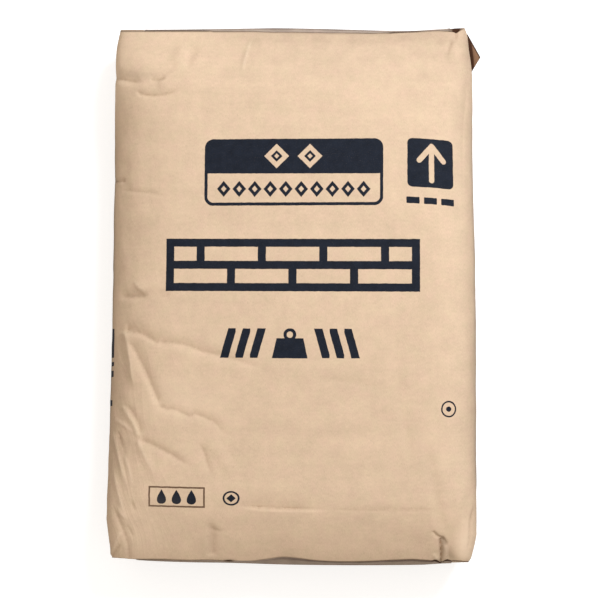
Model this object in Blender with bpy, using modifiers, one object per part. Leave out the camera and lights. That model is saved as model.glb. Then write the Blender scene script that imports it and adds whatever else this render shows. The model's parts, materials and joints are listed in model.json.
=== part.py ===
"""A 25 kg bag of cement, lying on its broad face with its top end at +Y and its print facing up.

It is a pasted valve sack: a tube of kraft plies whose two ends are folded into flat walls and each
covered by a pasted strip. It is filled through a paper sleeve in one corner, which then squeezes shut.
The origin is on the floor, under the middle of the bag.
"""

from math import radians

import bmesh
import bpy

# Driving dimensions of the filled bag, in metres
LENGTH = 0.580          # between the bulges of the two end walls
WIDTH = 0.395           # across the rounded long sides
HEIGHT = 0.088          # from the floor to the flat top of the crown
PAPER = 0.0005          # three kraft plies with a moisture film, pressed together
SEAT_GAP = 0.0003       # between pieces that touch
FILL_GAP = 0.0005       # between the paper and the powder

# The section across the bag: a superellipse, cut flat by the floor and on top of the crown
MID_HEIGHT = 0.042      # height of the widest point of the sides
TOP_REACH = 0.0475      # from mid height up to the uncut crown
FLOOR_REACH = 0.046     # from mid height down to the uncut underside
LEFT_FLATNESS = 5.0     # exponents: the left side rolls off more softly than the right one
RIGHT_FLATNESS = 7.5
RIM_SHARE = 0.93        # share of the half width where the broad faces hand over to the sides
END_RIM_SHARE = 0.985   # the same at the folded ends

# The folded ends
TOP_BULGE = 0.012       # how far the middle of an end wall stands out past its folds
BOTTOM_BULGE = 0.009
TOP_CORNER_SHARE = 0.65     # the corners of the folds reach out by this share of the bulge
BOTTOM_CORNER_SHARE = 0.30
TOP_FOLD_SHARE = 0.68   # height of the upper fold, as a share of TOP_REACH
FLOOR_FOLD_SHARE = 0.80
END_TAPER = 5.0         # how late along the bag the broad faces dip towards the folds
CORNER_INSET = 0.006    # the sides draw in by this much towards the upright corner edges
CORNER_RUN = 0.045      # over this length
GABLE = 0.045           # length of the triangular facets where the sides close into the corners
SQUARING = 0.125        # the section turns from round to nearly square over this length
END_FLATNESS = 15.0     # exponents of the section at the folds
END_ROUNDNESS = 3.6

# The strips pasted over the end walls cover these shares of them
STRIP_SIDE_SHARE = 0.90
STRIP_HEIGHT_SHARE = 0.85
STRIP_PAPER = 0.0004

# The valve sleeve, in the right side near the top end
SLEEVE_PAPER = 0.0012   # a flattened paper tube
SLEEVE_DEPTH = 0.060    # how far it reaches into the powder
SLEEVE_EDGES_Y = (0.2430, 0.2790)
SLEEVE_TIP_X = 0.2070   # from the middle of the sack
SLEEVE_TIP_Y = 0.2590

# The sack's middle stands this far left of the origin, which is under the middle of bag and tip
MIDDLE_X = (WIDTH / 2 - SLEEVE_TIP_X) / 2

# Where the faces of the mesh are divided, as shares of the half width, length and height
ACROSS = (0.15, 0.30, 0.45, 0.60, 0.74, 0.86, 0.95)
ALONG = (0.12, 0.24, 0.36, 0.47, 0.57, 0.66, 0.74, 0.81, 0.87, 0.92, 0.965)
UPWARD = (0.30, 0.58, 0.82)
SHARP_FROM = radians(40)

KRAFT = (0.62, 0.44, 0.28, 1.0)
STRIP_KRAFT = (0.56, 0.40, 0.26, 1.0)
SLEEVE_KRAFT = (0.50, 0.33, 0.21, 1.0)
CEMENT_GREY = (0.30, 0.30, 0.29, 1.0)


def clear_scene():
    for item in list(bpy.data.objects):
        bpy.data.objects.remove(item)


def collection(name):
    made = bpy.data.collections.new(name)
    bpy.context.scene.collection.children.link(made)
    return made


def material(name, colour, roughness):
    made = bpy.data.materials.new(name)
    made.use_nodes = True
    shader = made.node_tree.nodes["Principled BSDF"]
    shader.inputs["Base Color"].default_value = colour
    shader.inputs["Roughness"].default_value = roughness
    shader.inputs["Metallic"].default_value = 0.0
    return made


def ease(value):
    """0 below 0, 1 above 1, and smooth between."""
    t = min(1.0, max(0.0, value))
    return t * t * (3.0 - 2.0 * t)


def mix(a, b, share):
    return a + (b - a) * share


def bag_point(across, along, up):
    """The place on the bag of a point on the surface of a cube from -1 to 1."""
    bulge = TOP_BULGE if along > 0 else BOTTOM_BULGE
    corner_share = TOP_CORNER_SHARE if along > 0 else BOTTOM_CORNER_SHARE
    fold_back = bulge * (1.0 - corner_share * across**4)
    fold_y = LENGTH / 2 - fold_back
    from_end = (1.0 - abs(along)) * fold_y
    square = 1.0 - ease(from_end / SQUARING)
    flatness = mix(RIGHT_FLATNESS if across > 0 else LEFT_FLATNESS, END_FLATNESS, square)
    roundness = mix(2.0, END_ROUNDNESS, square)
    rim_share = mix(RIM_SHARE, END_RIM_SHARE, square)
    half_width = WIDTH / 2 - CORNER_INSET * (1.0 - min(1.0, from_end / CORNER_RUN)) ** 2
    dip = abs(along) ** END_TAPER
    reach = (
        TOP_REACH * mix(1.0, TOP_FOLD_SHARE, dip)
        if up > 0
        else FLOOR_REACH * mix(1.0, FLOOR_FOLD_SHARE, dip)
    )
    rim_height = (1.0 - rim_share**flatness) ** (1.0 / roundness)

    y = along * fold_y
    if abs(along) == 1.0:
        x = abs(across) * rim_share * half_width
        height = up * (1.0 - (abs(across) * rim_share) ** flatness) ** (1.0 / roundness)
        y += along * fold_back * (1.0 - up * up) * (1.0 - across**4)
    elif abs(across) == 1.0 and abs(up) < 1.0:
        height = up * rim_height
        x = half_width * (1.0 - abs(height) ** roundness) ** (1.0 / flatness)
        # Near a corner the side is pulled flat into a triangle
        corner_x = END_RIM_SHARE * (WIDTH / 2 - CORNER_INSET)
        x = mix(corner_x, max(x, corner_x), min(1.0, from_end / (GABLE * (1.0 - abs(up)))))
    else:
        x = abs(across) * rim_share * half_width
        height = (1.0 - (x / half_width) ** flatness) ** (1.0 / roundness) * up
    z = MID_HEIGHT + reach * height
    return (MIDDLE_X + (x if across > 0 else -x), y, min(HEIGHT, max(0.0, z)))


def bag_surface():
    """The closed outer surface of the bag, in triangles. Each vertex keeps its place on the cube."""
    surface = bmesh.new()
    bmesh.ops.create_cube(surface, size=2.0)
    for axis, shares in enumerate((ACROSS, ALONG, UPWARD)):
        normal = [0.0, 0.0, 0.0]
        normal[axis] = 1.0
        for share in (0.0, *shares, *(-s for s in shares)):
            bmesh.ops.bisect_plane(
                surface,
                geom=surface.verts[:] + surface.edges[:] + surface.faces[:],
                plane_co=[share * n for n in normal],
                plane_no=normal,
            )
    on_cube = surface.verts.layers.float_vector.new("on_cube")
    for vertex in surface.verts:
        vertex[on_cube] = vertex.co
        vertex.co = bag_point(*(round(c, 4) for c in vertex.co))
    bmesh.ops.triangulate(surface, faces=surface.faces[:], quad_method="SHORT_EDGE")
    surface.normal_update()
    return surface


def shifted(surface, distance):
    """A copy of the surface, moved out along its normals by a distance, or in by a negative one."""
    copy = surface.copy()
    copy.normal_update()
    moves = [(v, v.normal * v.calc_shell_factor() * distance) for v in copy.verts]
    for vertex, move in moves:
        vertex.co += move
    return copy


def add_piece(name, surface, finish, parts):
    mesh = bpy.data.meshes.new(name)
    surface.to_mesh(mesh)
    surface.free()
    mesh.shade_smooth()
    mesh.set_sharp_from_angle(angle=SHARP_FROM)
    piece = bpy.data.objects.new(name, mesh)
    piece.data.materials.append(finish)
    parts.objects.link(piece)
    return piece


def add_wall(piece, thickness, outward):
    wall = piece.modifiers.new("wall", "SOLIDIFY")
    wall.thickness = thickness
    wall.offset = 1.0 if outward else -1.0
    wall.use_even_offset = True


def cut(piece, cutter):
    hole = piece.modifiers.new("valve_slit", "BOOLEAN")
    hole.operation = "DIFFERENCE"
    hole.object = cutter


def add_box(name, low, high, group):
    box = bmesh.new()
    bmesh.ops.create_cube(box, size=1.0)
    for vertex in box.verts:
        vertex.co = [mix(a, b, c + 0.5) for a, b, c in zip(low, high, vertex.co)]
    mesh = bpy.data.meshes.new(name)
    box.to_mesh(mesh)
    box.free()
    made = bpy.data.objects.new(name, mesh)
    made.hide_render = True
    made.display_type = "WIRE"
    group.objects.link(made)
    return made


def valve_cutter(cutters):
    """The slit for the sleeve, through the paper and on into the powder."""
    half = SLEEVE_PAPER / 2 + SEAT_GAP
    side_x = MIDDLE_X + WIDTH / 2
    low = (side_x - SLEEVE_DEPTH - SEAT_GAP, SLEEVE_EDGES_Y[0] - SEAT_GAP, MID_HEIGHT - half)
    high = (side_x + 0.02, SLEEVE_EDGES_Y[1] + SEAT_GAP, MID_HEIGHT + half)
    return add_box("valve_cutter", low, high, cutters)


def paper_sack(surface, cutter, parts):
    sack = add_piece("paper_sack", surface.copy(), material("kraft", KRAFT, 0.75), parts)
    add_wall(sack, PAPER, outward=False)
    cut(sack, cutter)
    return sack


def cement(surface, cutter, parts):
    inside = shifted(surface, -(PAPER + FILL_GAP))
    powder = add_piece("cement", inside, material("cement", CEMENT_GREY, 0.95), parts)
    cut(powder, cutter)
    return powder


def end_strip(name, side, surface, finish, parts):
    """The strip pasted over one end wall. side is 1 at the top end and -1 at the bottom end."""
    strip = surface.copy()
    on_cube = strip.verts.layers.float_vector["on_cube"]

    def outside(face):
        return any(
            v[on_cube].y * side < 0.999
            or abs(v[on_cube].x) > STRIP_SIDE_SHARE
            or abs(v[on_cube].z) > STRIP_HEIGHT_SHARE
            for v in face.verts
        )

    faces = [face for face in strip.faces if outside(face)]
    bmesh.ops.delete(strip, geom=faces, context="FACES")
    seated = shifted(strip, SEAT_GAP)
    strip.free()
    piece = add_piece(name, seated, finish, parts)
    add_wall(piece, STRIP_PAPER, outward=True)
    return piece


def valve_sleeve(parts):
    """A flat paper tube, gripped by the powder. Its folded mouth shows as a small pointed ear."""
    near, far = SLEEVE_EDGES_Y
    side_x = MIDDLE_X + WIDTH / 2
    root = side_x - SLEEVE_DEPTH
    tip = (MIDDLE_X + SLEEVE_TIP_X, SLEEVE_TIP_Y)
    outline = [(root, near), (side_x, near), tip, (side_x, far), (root, far)]
    curve = bpy.data.curves.new("valve_sleeve", "CURVE")
    curve.dimensions = "2D"
    curve.fill_mode = "BOTH"
    curve.extrude = SLEEVE_PAPER / 2
    line = curve.splines.new("POLY")
    line.points.add(len(outline) - 1)
    for point, (x, y) in zip(line.points, outline):
        point.co = (x, y, 0.0, 1.0)
    line.use_cyclic_u = True
    sleeve = bpy.data.objects.new("valve_sleeve", curve)
    sleeve.location.z = MID_HEIGHT
    sleeve.data.materials.append(material("sleeve_kraft", SLEEVE_KRAFT, 0.8))
    parts.objects.link(sleeve)
    return sleeve


def build():
    clear_scene()
    parts = collection("cement_bag")
    cutters = collection("cutters")
    cutter = valve_cutter(cutters)
    surface = bag_surface()
    paper_sack(surface, cutter, parts)
    cement(surface, cutter, parts)
    strip_finish = material("strip_kraft", STRIP_KRAFT, 0.8)
    end_strip("top_end_strip", 1, surface, strip_finish, parts)
    end_strip("bottom_end_strip", -1, surface, strip_finish, parts)
    valve_sleeve(parts)
    surface.free()


build()
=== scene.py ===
"""The looks of a filled paper sack of cement that lies on its broad face with its print up.

The sack is one mesh: a fine cage in the form of the filled bag, relaxed as stiff cloth around a fixed
volume of powder, and then creased where the photograph shows creases. The paper's own flat
coordinates are kept on the mesh, so that the print follows every wrinkle.
"""

from __future__ import annotations

import json
import logging
import math
from contextlib import contextmanager
from dataclasses import dataclass, field
from enum import Enum
from typing import Iterator, Sequence

import bpy
import numpy as np
from mathutils import Matrix, Vector, noise
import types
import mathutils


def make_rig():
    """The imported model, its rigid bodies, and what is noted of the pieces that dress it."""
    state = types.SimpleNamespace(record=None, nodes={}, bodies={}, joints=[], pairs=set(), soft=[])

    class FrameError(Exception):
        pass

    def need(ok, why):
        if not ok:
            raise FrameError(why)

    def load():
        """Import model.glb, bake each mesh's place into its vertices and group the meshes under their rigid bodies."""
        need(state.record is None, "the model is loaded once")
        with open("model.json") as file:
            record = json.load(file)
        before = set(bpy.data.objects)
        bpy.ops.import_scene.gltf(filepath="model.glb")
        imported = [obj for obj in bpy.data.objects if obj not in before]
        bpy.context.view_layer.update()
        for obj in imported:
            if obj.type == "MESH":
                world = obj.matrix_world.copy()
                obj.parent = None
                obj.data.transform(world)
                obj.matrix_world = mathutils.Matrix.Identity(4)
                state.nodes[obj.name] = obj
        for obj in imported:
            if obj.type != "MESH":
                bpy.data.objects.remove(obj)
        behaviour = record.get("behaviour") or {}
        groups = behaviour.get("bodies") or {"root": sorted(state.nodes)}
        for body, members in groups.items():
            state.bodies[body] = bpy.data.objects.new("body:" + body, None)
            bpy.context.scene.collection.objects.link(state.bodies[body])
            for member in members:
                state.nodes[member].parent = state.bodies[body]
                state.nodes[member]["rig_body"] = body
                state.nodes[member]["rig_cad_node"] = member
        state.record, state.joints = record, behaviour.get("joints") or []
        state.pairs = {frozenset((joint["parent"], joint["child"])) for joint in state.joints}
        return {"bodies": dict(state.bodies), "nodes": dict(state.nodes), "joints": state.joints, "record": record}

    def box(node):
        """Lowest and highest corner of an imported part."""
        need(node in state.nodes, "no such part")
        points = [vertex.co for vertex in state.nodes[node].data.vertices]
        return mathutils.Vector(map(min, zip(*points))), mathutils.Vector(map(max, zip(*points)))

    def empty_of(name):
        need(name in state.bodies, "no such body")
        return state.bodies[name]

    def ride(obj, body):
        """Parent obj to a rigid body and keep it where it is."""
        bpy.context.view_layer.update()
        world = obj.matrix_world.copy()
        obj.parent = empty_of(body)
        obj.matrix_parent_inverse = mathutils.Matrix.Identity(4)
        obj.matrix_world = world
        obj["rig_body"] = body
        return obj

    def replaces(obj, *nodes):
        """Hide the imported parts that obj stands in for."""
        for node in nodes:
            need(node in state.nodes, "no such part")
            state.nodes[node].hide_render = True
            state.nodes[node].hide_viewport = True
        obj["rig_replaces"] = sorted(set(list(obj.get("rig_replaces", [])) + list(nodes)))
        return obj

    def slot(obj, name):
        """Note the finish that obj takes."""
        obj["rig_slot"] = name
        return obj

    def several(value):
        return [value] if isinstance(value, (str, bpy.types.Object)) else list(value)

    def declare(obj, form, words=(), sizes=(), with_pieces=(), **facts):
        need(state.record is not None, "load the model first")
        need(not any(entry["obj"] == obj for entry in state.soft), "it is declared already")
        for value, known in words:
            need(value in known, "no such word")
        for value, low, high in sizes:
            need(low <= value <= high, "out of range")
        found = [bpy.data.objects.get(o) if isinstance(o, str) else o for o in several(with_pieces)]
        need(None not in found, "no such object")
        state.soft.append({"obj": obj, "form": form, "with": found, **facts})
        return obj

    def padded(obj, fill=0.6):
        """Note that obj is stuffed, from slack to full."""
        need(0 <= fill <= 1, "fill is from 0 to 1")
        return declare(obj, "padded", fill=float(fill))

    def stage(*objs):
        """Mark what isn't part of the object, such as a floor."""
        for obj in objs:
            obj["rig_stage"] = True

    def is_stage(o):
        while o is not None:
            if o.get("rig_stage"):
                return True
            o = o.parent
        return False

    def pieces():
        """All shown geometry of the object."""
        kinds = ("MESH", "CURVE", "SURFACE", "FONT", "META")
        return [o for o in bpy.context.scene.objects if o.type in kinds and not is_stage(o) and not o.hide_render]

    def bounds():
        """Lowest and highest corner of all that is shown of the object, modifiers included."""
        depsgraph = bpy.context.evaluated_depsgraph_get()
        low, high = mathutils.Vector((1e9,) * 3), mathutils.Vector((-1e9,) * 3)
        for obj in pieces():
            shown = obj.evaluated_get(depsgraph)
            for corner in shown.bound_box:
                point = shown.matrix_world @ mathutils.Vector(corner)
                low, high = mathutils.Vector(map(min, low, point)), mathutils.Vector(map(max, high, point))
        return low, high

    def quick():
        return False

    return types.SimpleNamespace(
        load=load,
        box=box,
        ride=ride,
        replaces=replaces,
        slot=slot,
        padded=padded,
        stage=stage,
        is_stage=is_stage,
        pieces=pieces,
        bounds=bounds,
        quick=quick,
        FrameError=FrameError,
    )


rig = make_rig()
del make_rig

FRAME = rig.load()
CAD_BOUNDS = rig.bounds()

MM = 0.001
# The attributes that the meshes carry.
CUBE_PLACE = "cube_place"
SHEET = "sheet"
CREASE = "crease"
# Painted shade and painted light that each vertex gives the paper's colour: darker above 0, paler below 0.
SOILED = "soiled_fold"
# From where a place on the cube counts as on one of its faces, in the form and on the mesh.
ON_FACE = 0.99999
AT_EDGE = 0.9999
Piece = bpy.types.Object
Point = tuple[float, float]
Path = tuple[Point, ...]
Box = tuple[float, float, float, float]
log = logging.getLogger("cement_bag")


def ease(value: np.ndarray) -> np.ndarray:
    """0 below 0, 1 above 1, and smooth between."""
    t = np.clip(value, 0.0, 1.0)
    return t * t * (3.0 - 2.0 * t)


def mix(a: np.ndarray | float, b: np.ndarray | float, share: np.ndarray | float) -> np.ndarray:
    """a where share is 0, b where it is 1, and straight between."""
    return a + (b - a) * share


@dataclass(frozen=True)
class BagForm:
    """The form of the filled sack, which maps the surface of a cube from -1 to 1 onto it.

    The sizes match the solid of the sack, in metres. Its section is a superellipse, cut flat by the
    floor and on top, which turns nearly square at the folded ends.
    """

    length: float
    width: float
    height: float
    middle_x: float
    mid_height: float = 0.042
    top_reach: float = 0.0475
    floor_reach: float = 0.046
    left_flatness: float = 6.3
    right_flatness: float = 8.5
    side_roundness: float = 1.65
    rim_share: float = 0.93
    end_rim_share: float = 0.985
    top_bulge: float = 0.012
    bottom_bulge: float = 0.009
    top_corner_share: float = 0.65
    bottom_corner_share: float = 0.30
    top_fold_share: float = 0.60
    floor_fold_share: float = 0.80
    end_slope: float = 0.066
    corner_inset: float = 0.006
    corner_run: float = 0.045
    gable: float = 0.045
    squaring: float = 0.125
    end_flatness: float = 15.0
    end_roundness: float = 3.6
    side_arc: float = 0.078

    @classmethod
    def from_node(cls, node: str) -> BagForm:
        """The form with the box of a CAD node.

        Args:
            node: The name of the sack's CAD node.

        Returns:
            The form that fills that node's box.
        """
        low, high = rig.box(node)
        return cls(high.y - low.y, high.x - low.x, high.z - low.z, (high.x + low.x) / 2)

    def parts(self, cube: np.ndarray) -> dict[str, np.ndarray]:
        """What the place on the bag and on the flat paper are both worked out from.

        Args:
            cube: Points on the cube, one in a row.

        Returns:
            Named arrays with one number for each point.
        """
        across, along, up = cube.T
        bulge = np.where(along > 0, self.top_bulge, self.bottom_bulge)
        corner_share = np.where(along > 0, self.top_corner_share, self.bottom_corner_share)
        fold_back = bulge * (1.0 - corner_share * across**4)
        fold_y = self.length / 2 - fold_back
        from_end = (1.0 - abs(along)) * fold_y
        square = 1.0 - ease(from_end / self.squaring)
        side_flatness = np.where(across > 0, self.right_flatness, self.left_flatness)
        flatness = mix(side_flatness, self.end_flatness, square)
        roundness = mix(self.side_roundness, self.end_roundness, square)
        rim = mix(self.rim_share, self.end_rim_share, square)
        half = self.width / 2 - self.corner_inset * (1.0 - np.minimum(1.0, from_end / self.corner_run)) ** 2
        dip = mix(np.clip(1.0 - from_end / self.end_slope, 0.0, 1.0) ** 2, along**4, 0.25)
        above = self.top_reach * mix(1.0, self.top_fold_share, dip)
        below = self.floor_reach * mix(1.0, self.floor_fold_share, dip)
        reach = np.where(up > 0, above, below)
        return locals()

    def place(self, cube: np.ndarray) -> np.ndarray:
        """The places on the bag of points on the cube.

        Args:
            cube: Points on the cube, one in a row.

        Returns:
            Points in the row frame, in metres, one in a row.
        """
        p = self.parts(cube)
        across, along, up = cube.T
        on_end = abs(along) > ON_FACE
        on_side = (abs(across) > ON_FACE) & (abs(up) < ON_FACE) & ~on_end
        rim_height = (1.0 - p["rim"] ** p["flatness"]) ** (1.0 / p["roundness"])
        face_x = abs(across) * p["rim"] * p["half"]
        face_height = (1.0 - (face_x / p["half"]) ** p["flatness"]) ** (1.0 / p["roundness"])
        end_height = (1.0 - (abs(across) * p["rim"]) ** p["flatness"]) ** (1.0 / p["roundness"])
        side_height = up * rim_height
        side_x = p["half"] * (1.0 - abs(side_height) ** p["roundness"]) ** (1.0 / p["flatness"])
        corner_x = self.end_rim_share * (self.width / 2 - self.corner_inset)
        gable_share = np.minimum(1.0, p["from_end"] / (self.gable * np.maximum(1e-6, 1.0 - abs(up))))
        side_x = mix(corner_x, side_x, gable_share)
        x = np.where(on_side, side_x, face_x)
        height = np.where(on_end, up * end_height, np.where(on_side, side_height, np.sign(up) * face_height))
        y = along * p["fold_y"]
        y = y + np.where(on_end, np.sign(along) * p["fold_back"] * (1.0 - up**2) * (1.0 - across**4), 0.0)
        z = np.clip(self.mid_height + p["reach"] * height, 0.0, self.height)
        return np.stack([self.middle_x + np.where(across > 0, x, -x), y, z], -1)

    def sheet(self, cube: np.ndarray) -> np.ndarray:
        """The places on the flat paper of points on the cube.

        Args:
            cube: Points on the cube, one in a row.

        Returns:
            For each point, how far it is across the paper from the middle of the printed face, how
            far along it from the middle of the bag, and 1 on an end wall or 0 elsewhere.
        """
        p = self.parts(cube)
        across, along, up = cube.T
        on_end = abs(along) > ON_FACE
        side = np.where(across > 0, 1.0, -1.0)
        rim_x = p["rim"] * p["half"]
        from_middle = np.where(up > ON_FACE, abs(across) * rim_x, rim_x + self.side_arc * (1.0 - up) / 2)
        under = (up < -ON_FACE) & ~on_end
        from_middle = np.where(under, rim_x + self.side_arc + (1.0 - abs(across)) * rim_x, from_middle)
        from_middle = np.where(on_end, abs(across) * rim_x, from_middle)
        v = along * p["fold_y"] + np.where(on_end, np.sign(along) * (1.0 - up) * p["reach"], 0.0)
        return np.stack([side * from_middle, v, on_end.astype(float)], -1)


@dataclass(frozen=True)
class PhotoView:
    """The camera, found from the outline of the bag in the photograph.

    Angles are in degrees, and lengths in metres. A pixel is one of the photograph's 598 by 598.
    """

    pixels: int = 598
    focal_pixels: float = 1195.0
    distance: float = 1.30
    tilt: float = 4.41
    sideways: float = -2.38
    roll: float = 0.37
    look_at: tuple[float, float, float] = (0.0025, -0.0075, 0.044)
    sensor: float = 0.036

    def axes(self) -> tuple[Vector, Vector, Vector]:
        """The camera's right, up and backward directions."""
        tilt, sideways, roll = (math.radians(a) for a in (self.tilt, self.sideways, self.roll))
        back = Vector(
            (-math.sin(sideways), -math.sin(tilt) * math.cos(sideways), math.cos(tilt) * math.cos(sideways))
        )
        right = Vector((0.0, 1.0, 0.0)).cross(back).normalized()
        up = back.cross(right)
        turned_right = right * math.cos(roll) + up * math.sin(roll)
        turned_up = up * math.cos(roll) - right * math.sin(roll)
        return turned_right, turned_up, back

    def place(self) -> Vector:
        """Where the camera stands."""
        return Vector(self.look_at) + self.axes()[2] * self.distance

    def on_level(self, pixels: Sequence[Sequence[float]], level: float) -> np.ndarray:
        """Where the lines of sight through pixels meet a level plane.

        Args:
            pixels: Pixel coordinates in the photograph, x to the right and y down.
            level: The height of the plane, in metres.

        Returns:
            The x and y of each point in the row frame, in metres, one in a row.
        """
        right, up, back = self.axes()
        start = self.place()
        found = []
        for px, py in pixels:
            sight = (
                right * ((px - self.pixels / 2) / self.focal_pixels)
                + up * ((self.pixels / 2 - py) / self.focal_pixels)
                - back
            )
            point = start + sight * ((level - start.z) / sight.z)
            found.append((point.x, point.y))
        return np.array(found)

    def to_pixels(self, points: np.ndarray) -> np.ndarray:
        """The pixels of the photograph where points of the row frame appear.

        Args:
            points: Points, one in a row, in metres.

        Returns:
            Pixel coordinates, one pair in a row.
        """
        right, up, back = (np.array(axis) for axis in self.axes())
        rel = points - np.array(self.place())
        scale = self.focal_pixels / -(rel @ back)
        return np.stack([self.pixels / 2 + rel @ right * scale, self.pixels / 2 - rel @ up * scale], -1)

    def build(self) -> Piece:
        """Adds the camera and makes it the scene's own.

        Returns:
            The camera object.
        """
        right, up, back = self.axes()
        bpy.ops.object.camera_add(location=self.place())
        camera = bpy.context.object
        camera.name = "photo_camera"
        camera.rotation_euler = Matrix((right, up, back)).transposed().to_euler()
        camera.data.sensor_fit = "HORIZONTAL"
        camera.data.sensor_width = self.sensor * 1000
        camera.data.lens = self.focal_pixels / self.pixels * self.sensor * 1000
        camera.data.clip_start = 0.05
        bpy.context.scene.camera = camera
        return camera


@dataclass(frozen=True)
class Crease:
    """A crease in the paper, along a path of the photograph's pixels.

    Height is in millimetres, positive for a ridge and negative for a valley. The two reaches say how
    many pixels the paper bends away to the left and to the right of the path, seen in its direction.
    A pixel is about 1.06 mm there. The fades are the shares of the path over which it begins and ends.
    """

    path: Path
    height: float
    left: float
    right: float
    fade_in: float = 0.3
    fade_out: float = 0.4
    crisp: bool = True

    def line(self) -> np.ndarray:
        """The path as a smooth curve of many short pieces."""
        return smooth_path(np.array(self.path))

    def near(self, spots: np.ndarray) -> tuple[np.ndarray, np.ndarray, np.ndarray]:
        """Where spots lie beside the path.

        Args:
            spots: Pixel coordinates, one pair in a row.

        Returns:
            How far each spot is from the path, in pixels; a number above 0 where it lies to the left;
            and the share of the path that is passed there.
        """
        path = self.line()
        runs = np.linalg.norm(np.diff(path, axis=0), axis=1)
        before = np.concatenate([[0.0], np.cumsum(runs)[:-1]])
        best = np.full(len(spots), np.inf)
        side = np.zeros(len(spots))
        share = np.zeros(len(spots))
        for begin, finish, run, passed in zip(path[:-1], path[1:], runs, before):
            way = (finish - begin) / run
            rel = spots - begin
            along = np.clip(rel @ way, 0.0, run)
            gap = np.hypot(*(rel - along[:, None] * way).T)
            closer = gap < best
            best = np.where(closer, gap, best)
            side = np.where(closer, way[1] * rel[:, 0] - way[0] * rel[:, 1], side)
            share = np.where(closer, (passed + along) / runs.sum(), share)
        return best, side, share

    def press(self, spots: np.ndarray) -> tuple[np.ndarray, np.ndarray]:
        """How far the crease lifts spots, and how near they are to its line.

        Args:
            spots: Pixel coordinates, one pair in a row.

        Returns:
            The lift of each spot in metres, and a number from -1 in a valley's line to 1 on a ridge's.
        """
        gap, side, share = self.near(spots)
        begun = ease(share / self.fade_in) if self.fade_in else 1.0
        ended = ease((1.0 - share) / self.fade_out) if self.fade_out else 1.0
        strength = begun * ended
        far = np.minimum(1.0, gap / np.where(side > 0, self.left, self.right))
        lift = self.height * MM * strength * ((1.0 - far) ** 1.7 if self.crisp else (1.0 - far**2) ** 2)
        line = np.sign(self.height) * strength * np.exp(-((gap / 1.5) ** 2)) if self.crisp else 0.0 * gap
        return lift, line


def smooth_path(points: np.ndarray, steps: int = 6) -> np.ndarray:
    """A curve through points, as many short straight pieces.

    Args:
        points: Points to pass through, one in a row.
        steps: Short pieces between each two points.

    Returns:
        The points of the curve, one in a row.
    """
    if len(points) < 3:
        return points
    held = np.concatenate([[2 * points[0] - points[1]], points, [2 * points[-1] - points[-2]]])
    found = []
    for a, b, c, d in zip(held, held[1:], held[2:], held[3:]):
        for t in np.linspace(0.0, 1.0, steps, endpoint=False):
            bend, twist = 2 * a - 5 * b + 4 * c - d, 3 * b - a - 3 * c + d
            found.append(0.5 * (2 * b + (c - a) * t + bend * t**2 + twist * t**3))
    found.append(points[-1])
    return np.array(found)


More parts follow.
